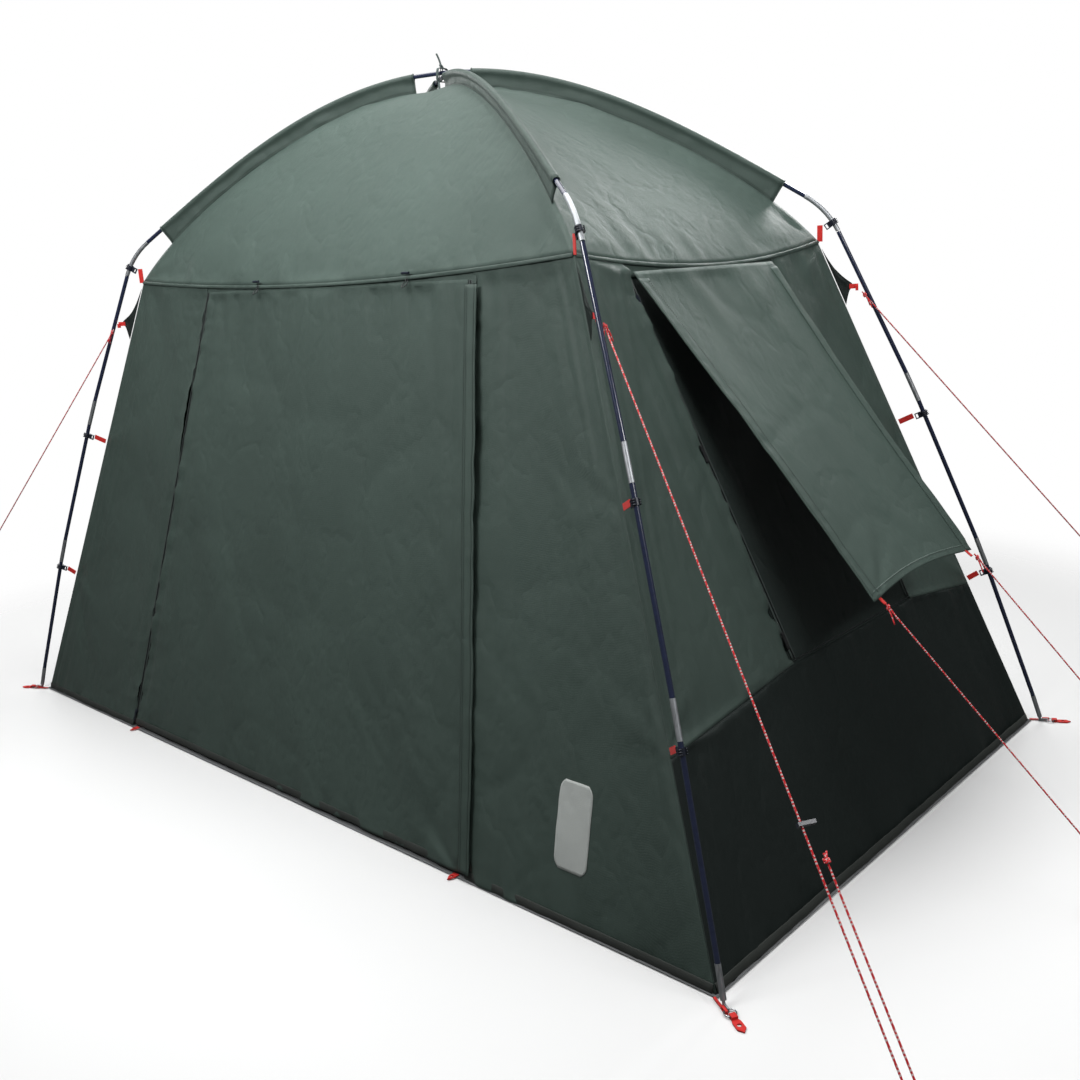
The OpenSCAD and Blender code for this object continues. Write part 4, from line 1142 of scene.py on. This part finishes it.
out = out + 0.0020 * near(1 - s, 0.03) * noise(t * 12, 3, 667)
out = out * edge_mask(s, t, left=0.0, right=0.0, low=0.03, high=0.0)
awning_shape = (x_bent, y_bent, out)
awning = cloth_grid("awning_cloth", awning_point(*awning_shape), "roof_cloth", None,
                    0.0012, flip=True)
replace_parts(awning, "awning_panel")
declare_sheet(awning_point(x, y, 0))


def bend_at_awning_top(obj):
    hinge, far = (tuple(map(float, awning_point(0, y, 0))) for y in (0, -0.075))
    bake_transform(obj)


def surface_offset(s, t):
    """The awning cloth's own shape at (s, t), read from its grid."""
    rows, cols = awning_shape[0].shape
    i, j = np.clip(t, 0, 1) * (rows - 1), np.clip(s, 0, 1) * (cols - 1)
    i0, j0 = np.minimum(i.astype(int), rows - 2), np.minimum(j.astype(int), cols - 2)
    fi, fj = i - i0, j - j0

    def pick(a):
        return (a[i0, j0] * (1 - fi) * (1 - fj) + a[i0 + 1, j0] * fi * (1 - fj)
                + a[i0, j0 + 1] * (1 - fi) * fj + a[i0 + 1, j0 + 1] * fi * fj)
    return tuple(pick(a) for a in awning_shape)


def awning_strip(name, s, t, lift):
    sx, sy, so = surface_offset(s, t)
    obj = cloth_grid(name, awning_point(sx, sy, so + lift), "roof_cloth", None, flip=True)
    bend_at_awning_top(sew(awning, obj))


def awning_stitches(name, s, t, lift):
    sx, sy, so = surface_offset(s, t)
    line = awning_point(sx, sy, so + lift)
    bend_at_awning_top(sew(awning, stitch_run(name, line, awning_up, None)))


awning_up = unit(awning_point(0, 0, 1) - awning_point(0, 0, 0))


f, q = np.meshgrid(np.linspace(0.02, 1, 110), np.linspace(0, 1, 9), indexing="ij")
edge_round = 0.0006 * np.sin(np.pi * q) ** 0.4
pucker = 0.0014 * noise(f * 44, q * 3, 670) + 0.0010 * noise(f * 90, q * 2, 671)
awning_strip("awning_hem_front", q * 0.072, f, 0.0010 + edge_round + pucker * np.sin(np.pi * q))
awning_strip("awning_hem_back", 1 - q * 0.045, f, 0.0007 + edge_round)
f, q = np.meshgrid(np.linspace(0.0, 1, 70), np.linspace(0, 1, 7), indexing="ij")
awning_strip("awning_hem_low", f, 1 - q * 0.022, 0.0007 + 0.0004 * np.sin(np.pi * q) ** 0.4)
bend_at_awning_top(awning)
f = np.linspace(0.03, 0.985, 120)
awning_stitches("awning_stitches_front_a", 0.066 + 0 * f, f, 0.0021)
awning_stitches("awning_stitches_front_b", 0.010 + 0 * f, f, 0.0021)
awning_stitches("awning_stitches_back", 1 - 0.040 + 0 * f, f, 0.0018)
f = np.linspace(0.02, 0.98, 80)
awning_stitches("awning_stitches_low", f, 1 - 0.019 + 0 * f, 0.0017)

# the closed cover of the left window
cut = panel_grid((WIN_F[0][0] + 0.008, WIN_LOW + 0.010), (WIN_B[0][0] - 0.008, WIN_LOW + 0.010),
                 (WIN_F[1][0] + 0.008, WIN_TOP + 0.004), (WIN_B[1][0] - 0.008, WIN_TOP + 0.004))
u, z, s, t = cut
disp = 0.0046 * noise(u / 0.26, z / 0.40, 680) + 0.0030 * noise((u + 0.3 * z) / 0.09, z / 0.6, 681)
disp = disp + 0.0040 * near(WIN_TOP - z, 0.08) * noise(u / 0.04, z / 0.3, 682)
disp = disp - 0.0016 * crease((u - 0.4 * z) / 0.22, z / 0.3, 683)
disp = disp + 0.0030 * near(s, 0.04) * noise(z / 0.03, 0, 684)
disp = disp + 0.0030 * near(1 - s, 0.04) * noise(z / 0.03, 4, 685)
disp = disp * edge_mask(s, t, left=0, right=0, low=0, high=0.03) * 0.8
cover = cloth_grid("window_cover_left_cloth", face_point(RIGHT, u, z, 0.0075 + disp) * MIRROR, "roof_cloth",
                   None, 0.0012, flip=True)
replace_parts(cover, "window_cover_left")
declare_sheet(face_point(RIGHT, u, z, 0.007) * MIRROR)
cover_top, cover_low = (tuple(map(float, face_point(RIGHT, 0, WIN_TOP + dz, 0.007) * MIRROR))
                        for dz in (0.002, -0.075))
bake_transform(cover)

# -------------------------------------------------------------- guy-rope ears
EAR_TIP_R = 1.238
EAR_FLAT = (0.186, 0.045)
for c in range(4):
    f, q = np.meshgrid(np.linspace(0, 1, 22), np.linspace(0, 1, 16), indexing="ij")
    # from a long seam on the corner out to a short tip, pinched between them
    seam_z, tip_z = 1.500 - 0.170 * q, 1.394 - 0.016 * q
    seam_r = CLOTH_R - (CLOTH_R - EAVE_R) * seam_z / EAVE_Z + 0.001
    ear_r = seam_r + (EAR_TIP_R - seam_r) * f
    ear_z = seam_z + (tip_z - seam_z) * f - 0.030 * np.sin(np.pi * f) * (0.5 - q)
    lateral = 0.0040 * noise(f * 2.2, q * 2.5, 700 + c) + 0.0022 * noise(f * 3, q * 9, 710 + c) * f
    side = np.array([-SIGNS[c][1] * DIAG[1], SIGNS[c][0] * DIAG[0], 0.0])
    flat = diagonal(c, ear_r, ear_z)
    ear = cloth_grid(f"guy_ear_{CORNERS[c]}", flat + side * (lateral * np.sin(np.pi * f))[..., None],
                     "dark_cloth", "tent", 0.0014)
    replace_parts(ear, "guy_wings")
    declare_sheet(flat, flat=EAR_FLAT)

# ---------------------------------------------------------- marks on the cloth
front_tree = surface_of(front_left, front_right)
f, q = np.meshgrid(np.linspace(0, 1, 29), np.linspace(-1, 1, 17), indexing="ij")
corner = 1 - np.clip(np.abs(f - 0.5) * 2 - 0.78, 0, 1) ** 2 * 6.0
patch_u = 1.133 + 0.050 * q * np.clip(corner, 0.2, 1)
patch_points = laid_on(front_tree, FRONT, patch_u, 0.126 + 0.210 * f, 0.0012)
sew(front_right, cloth_grid("plain_patch", patch_points, "patch", "tent", 0.0007))


# ------------------------------------------------------------ hem bindings
def binding(name, k, u0, u1, seed, body="tent", z0=0.0035, mirrored=False):
    """A woven band stitched over the bottom edge of a wall."""
    u = np.linspace(u0, u1, steps(abs(u1 - u0), 0.010))
    rows = []
    for dz, w in ((0.0, 0.0008), (0.0015, 0.0020), (0.0105, 0.0023), (0.0195, 0.0019), (0.021, 0.0006)):
        wave = 0.0016 * noise(u / 0.055, dz / 0.04, seed) + 0.0009 * noise(u / 0.021, dz / 0.03, seed + 1)
        rows.append(face_point(k, u, z0 + dz, w + wave))
    grid = np.stack(rows)
    if mirrored:
        grid = grid * MIRROR
    return cloth_grid(name, grid, "hem", body, 0.0009, flip=mirrored)


low_front = side_u(FRONT, 0.015) - 0.004
sew(front_left, binding("hem_front_left", FRONT, -low_front, DOOR_L[0][0] - ZIP, 720))
sew(front_right, binding("hem_front_right", FRONT, DOOR_R[0][0] + ZIP, low_front, 724))
sew(back_wall, binding("hem_back", BACK, -low_front, low_front, 728))
low_side = side_u(RIGHT, 0.015) - 0.004
sew("right_wall_lower_cloth", binding("hem_right", RIGHT, -low_side, low_side, 732))
sew("left_wall_lower_cloth", binding("hem_left", RIGHT, -low_side, low_side, 736, mirrored=True))
sew(door, binding("hem_door", FRONT, DOOR_L[0][0] + ZIP + 0.002, DOOR_R[0][0] - ZIP - 0.002, 740,
                  body="door", z0=DOOR_LOW))

# -------------------------------------------------------- tie at the crossing
a = np.linspace(0, 2 * np.pi, 41)
loop = np.stack([0.0016 * np.sin(3 * a), 0.0215 * np.sign(np.cos(a)) * np.abs(np.cos(a)) ** 0.45,
                 2.0935 + 0.0205 * np.sign(np.sin(a)) * np.abs(np.sin(a)) ** 0.55], 1)
parts = [ribbon_solid(loop, (1, 0, 0), 0.010, 0.0016)]
for way in (-1, 1):
    f = np.linspace(0, 1, 22)[:, None]
    top, foot = vec((-0.001, way * 0.016, 2.075)), vec((way * -0.004, way * 0.020, 2.030))
    line = top + (foot - top) * f + np.sin(np.pi * f) * vec((0.007, way * 0.006, 0))
    parts.append(ribbon_solid(line, (1, 0.3, 0), 0.0062, 0.0014))
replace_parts(finish_piece("apex_tie_tape", parts, "tie_tape", "tent"), "apex_tie")
parts = [knot_ball((-0.001, 0.0, 2.118), (0.2, 0.1, 1.0), 0.0062)]
f = np.linspace(0, 1, 44)
spine = np.stack([-0.002 - 0.014 * f**1.6, -0.001 - 0.003 * f, 2.118 + 0.040 * f], 1)
for strand in range(3):
    turn = 5.2 * np.pi * f + strand * 2 * np.pi / 3
    line = spine + np.stack([0.0017 * np.cos(turn), 0.0017 * np.sin(turn), 0 * f], 1)
    parts.append(tube(line, 0.0016, 7))
for way in (-1, 1):
    line = vec((-0.002, way * 0.003, 2.113)) + np.stack([
        -0.004 * f, way * (0.010 + 0.010 * np.sin(2.2 * f)) * f, -0.086 * f + 0.010 * np.sin(np.pi * f)], 1)
    parts.append(tube(line, 0.0013, 6))
finish_piece("apex_tie_cord", parts, "tie_tape", "tent")

# the joint in the roof pole beside the crossing
r = np.linspace(0.026, 0.078, 12)
tube_r = np.full(12, 0.0070)
tube_r[[0, -1]] = 0.0064
finish_piece("crown_ferrule", [tube(diagonal(2, r, roof_z(r)), tube_r, 20)], "silver_metal", "tent")

# -------------------------------------------------------- clips: open ribs
clip_verts = np.array([v.co[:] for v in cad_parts["pole_clips"].data.vertices])
parts = []
for c in range(4):
    for cz in (1.575, 0.995, 0.497):
        out = np.array([SIGNS[c][0] * DIAG[0], SIGNS[c][1] * DIAG[1], 0.0])
        mine = clip_verts[(np.abs(clip_verts[:, 2] - cz) < 0.016) & (clip_verts @ out > 0.9)]
        axis_r = (mine @ out).max() - 0.0105
        slope = (leg_r(cz + 0.01) - leg_r(cz - 0.01)) / 0.02
        axis = unit(out * slope + (0, 0, 1))
        x = unit(out - axis * (out @ axis))
        y = np.cross(axis, x)
        a = np.linspace(math.radians(48), math.radians(335), 30)[:, None]
        for h in (-0.0056, 0.0, 0.0056):
            at = out * axis_r + (0, 0, cz) + axis * h
            ring = at + np.cos(a) * x * 0.0108 + np.sin(a) * y * 0.0108
            parts.append(tube(ring, 0.0015, 8))
finish_piece("clip_ribs", parts, "black_plastic", "tent")

# ----------------------------------------------- cord loops round the toggles
parts = []
f = np.linspace(0, 1, 40)
for x in TOGGLE_U:
    line = face_point(FRONT, x + 0.007 * np.sin(2 * np.pi * f), 1.492 - 0.030 * np.sin(np.pi * f),
                      0.0025 + 0.016 * np.sin(np.pi * f) ** 2)
    parts.append(tube(line, 0.0013, 7))
finish_piece("toggle_loops", parts, "zip_coil", "tent")

# ------------------------------------------------- hook tabs round the windows
for tag, mirror in (("right", 1), ("left", -1)):
    for n, (tab_z, line, way) in enumerate(((1.03, WIN_F, 1), (0.56, WIN_F, 1), (1.02, WIN_B, -1))):
        f, q = np.meshgrid(np.linspace(-1, 1, 9), np.linspace(-1, 1, 5), indexing="ij")
        tab_u = zip_u(line, tab_z + 0.022 * f) - way * 0.012 + 0.006 * q
        tab = face_point(RIGHT, tab_u, tab_z + 0.022 * f, 0.0045 + 0.0006 * noise(f * 3, q * 2, 760 + n))
        wall = f"{tag}_wall_{'front' if way > 0 else 'back'}_cloth"
        sew(wall, cloth_grid(f"hook_tab_{tag}_{n}", tab * (mirror, 1, 1), "velcro", "tent",
                             0.0016, flip=mirror < 0))

# ------------------------------------------------------- awning corner tapes
parts = []
f = np.linspace(0, 1, 16)
for x in AWN_PULLS:
    sx, sy, so = surface_offset(np.full(16, (x - (-0.200)) / 0.570), np.full(16, 0.972))
    high, low = awning_point(sx, sy, so - 0.0030)[0], vec((1.5745, x, 0.6700))
    line = high + (low - high) * f[:, None] - awning_up * 0.0016 * np.sin(np.pi * f)[:, None]
    parts.append(ribbon_solid(line, (0, 1, 0), 0.012, 0.0018))
sew(awning, finish_piece("awning_corner_tapes", parts, "red_webbing", "awning"))

# ------------------------------------------------------------ stage and light
floor_mat, nodes, links, bsdf, coords = node_tree("pale_floor", (0.86, 0.86, 0.86), 0.9, specular=0.1)
tone = add_noise(nodes, links, coords, 0.7, 2.0)
links.new(add_ramp(nodes, links, tone, [(0.3, (0.85, 0.85, 0.85)), (0.7, (0.87, 0.87, 0.87))]),
          bsdf.inputs["Base Color"])
far_off = nodes.new("ShaderNodeVectorMath")
far_off.operation = "LENGTH"
links.new(coords, far_off.inputs[0])
clear, mixed = nodes.new("ShaderNodeBsdfTransparent"), nodes.new("ShaderNodeMixShader")
fade = nodes.new("ShaderNodeMapRange")
fade.interpolation_type = "SMOOTHSTEP"
for socket, value in (("From Min", 1.9), ("From Max", 3.4)):
    fade.inputs[socket].default_value = value
links.new(far_off.outputs["Value"], fade.inputs["Value"])
links.new(fade.outputs["Result"], mixed.inputs["Fac"])
links.new(bsdf.outputs["BSDF"], mixed.inputs[1])
links.new(clear.outputs["BSDF"], mixed.inputs[2])
links.new(mixed.outputs["Shader"], nodes["Material Output"].inputs["Surface"])
floor = make_mesh("floor", [(-5, -5, -0.0006), (5, -5, -0.0006), (5, 5, -0.0006), (-5, 5, -0.0006)],
                  [(0, 1, 2, 3)], floor_mat, smooth=False)
floor.visible_diffuse = False
floor.visible_glossy = False

# a white surround for the lens, and a much dimmer one to light the cloth
world = bpy.data.worlds.new("studio")
world.use_nodes = True
wn, wl = world.node_tree.nodes, world.node_tree.links
wn["Background"].inputs["Color"].default_value = (0.97, 1.0, 0.99, 1)
wn["Background"].inputs["Strength"].default_value = 0.11
bright, pick = wn.new("ShaderNodeBackground"), wn.new("ShaderNodeMixShader")
bright.inputs["Color"].default_value = (1.0, 1.0, 1.0, 1)
bright.inputs["Strength"].default_value = 1.0
wl.new(wn.new("ShaderNodeLightPath").outputs["Is Camera Ray"], pick.inputs["Fac"])
wl.new(wn["Background"].outputs["Background"], pick.inputs[1])
wl.new(bright.outputs["Background"], pick.inputs[2])
wl.new(pick.outputs["Shader"], wn["World Output"].inputs["Surface"])
bpy.context.scene.world = world


def area_light(name, at, aim, size, power):
    data = bpy.data.lights.new(name, "AREA")
    data.energy, data.shape, data.size, data.size_y = power, "RECTANGLE", size[0], size[1]
    lamp = bpy.data.objects.new(name, data)
    bpy.context.scene.collection.objects.link(lamp)
    lamp.location = at
    lamp.rotation_mode = "QUATERNION"
    lamp.rotation_quaternion = (Vector(aim) - Vector(at)).to_track_quat("-Z", "Y")
    lamp.visible_camera = False


area_light("top_softbox", (0.0, -0.3, 4.6), (0.0, -0.1, 1.0), (4.2, 3.2), 190)
area_light("front_softbox", (0.1, -2.7, 2.9), (0.1, 0.0, 2.7), (1.5, 0.6), 72)
area_light("right_softbox", (3.6, -0.5, 2.7), (0.0, -0.3, 2.5), (1.3, 0.6), 46)
area_light("back_softbox", (0.1, 2.7, 2.9), (0.1, 0.0, 2.7), (1.5, 0.6), 72)
area_light("left_softbox", (-3.6, 0.5, 2.7), (0.0, 0.3, 2.5), (1.3, 0.6), 46)

bpy.context.scene.view_settings.view_transform = "Standard"
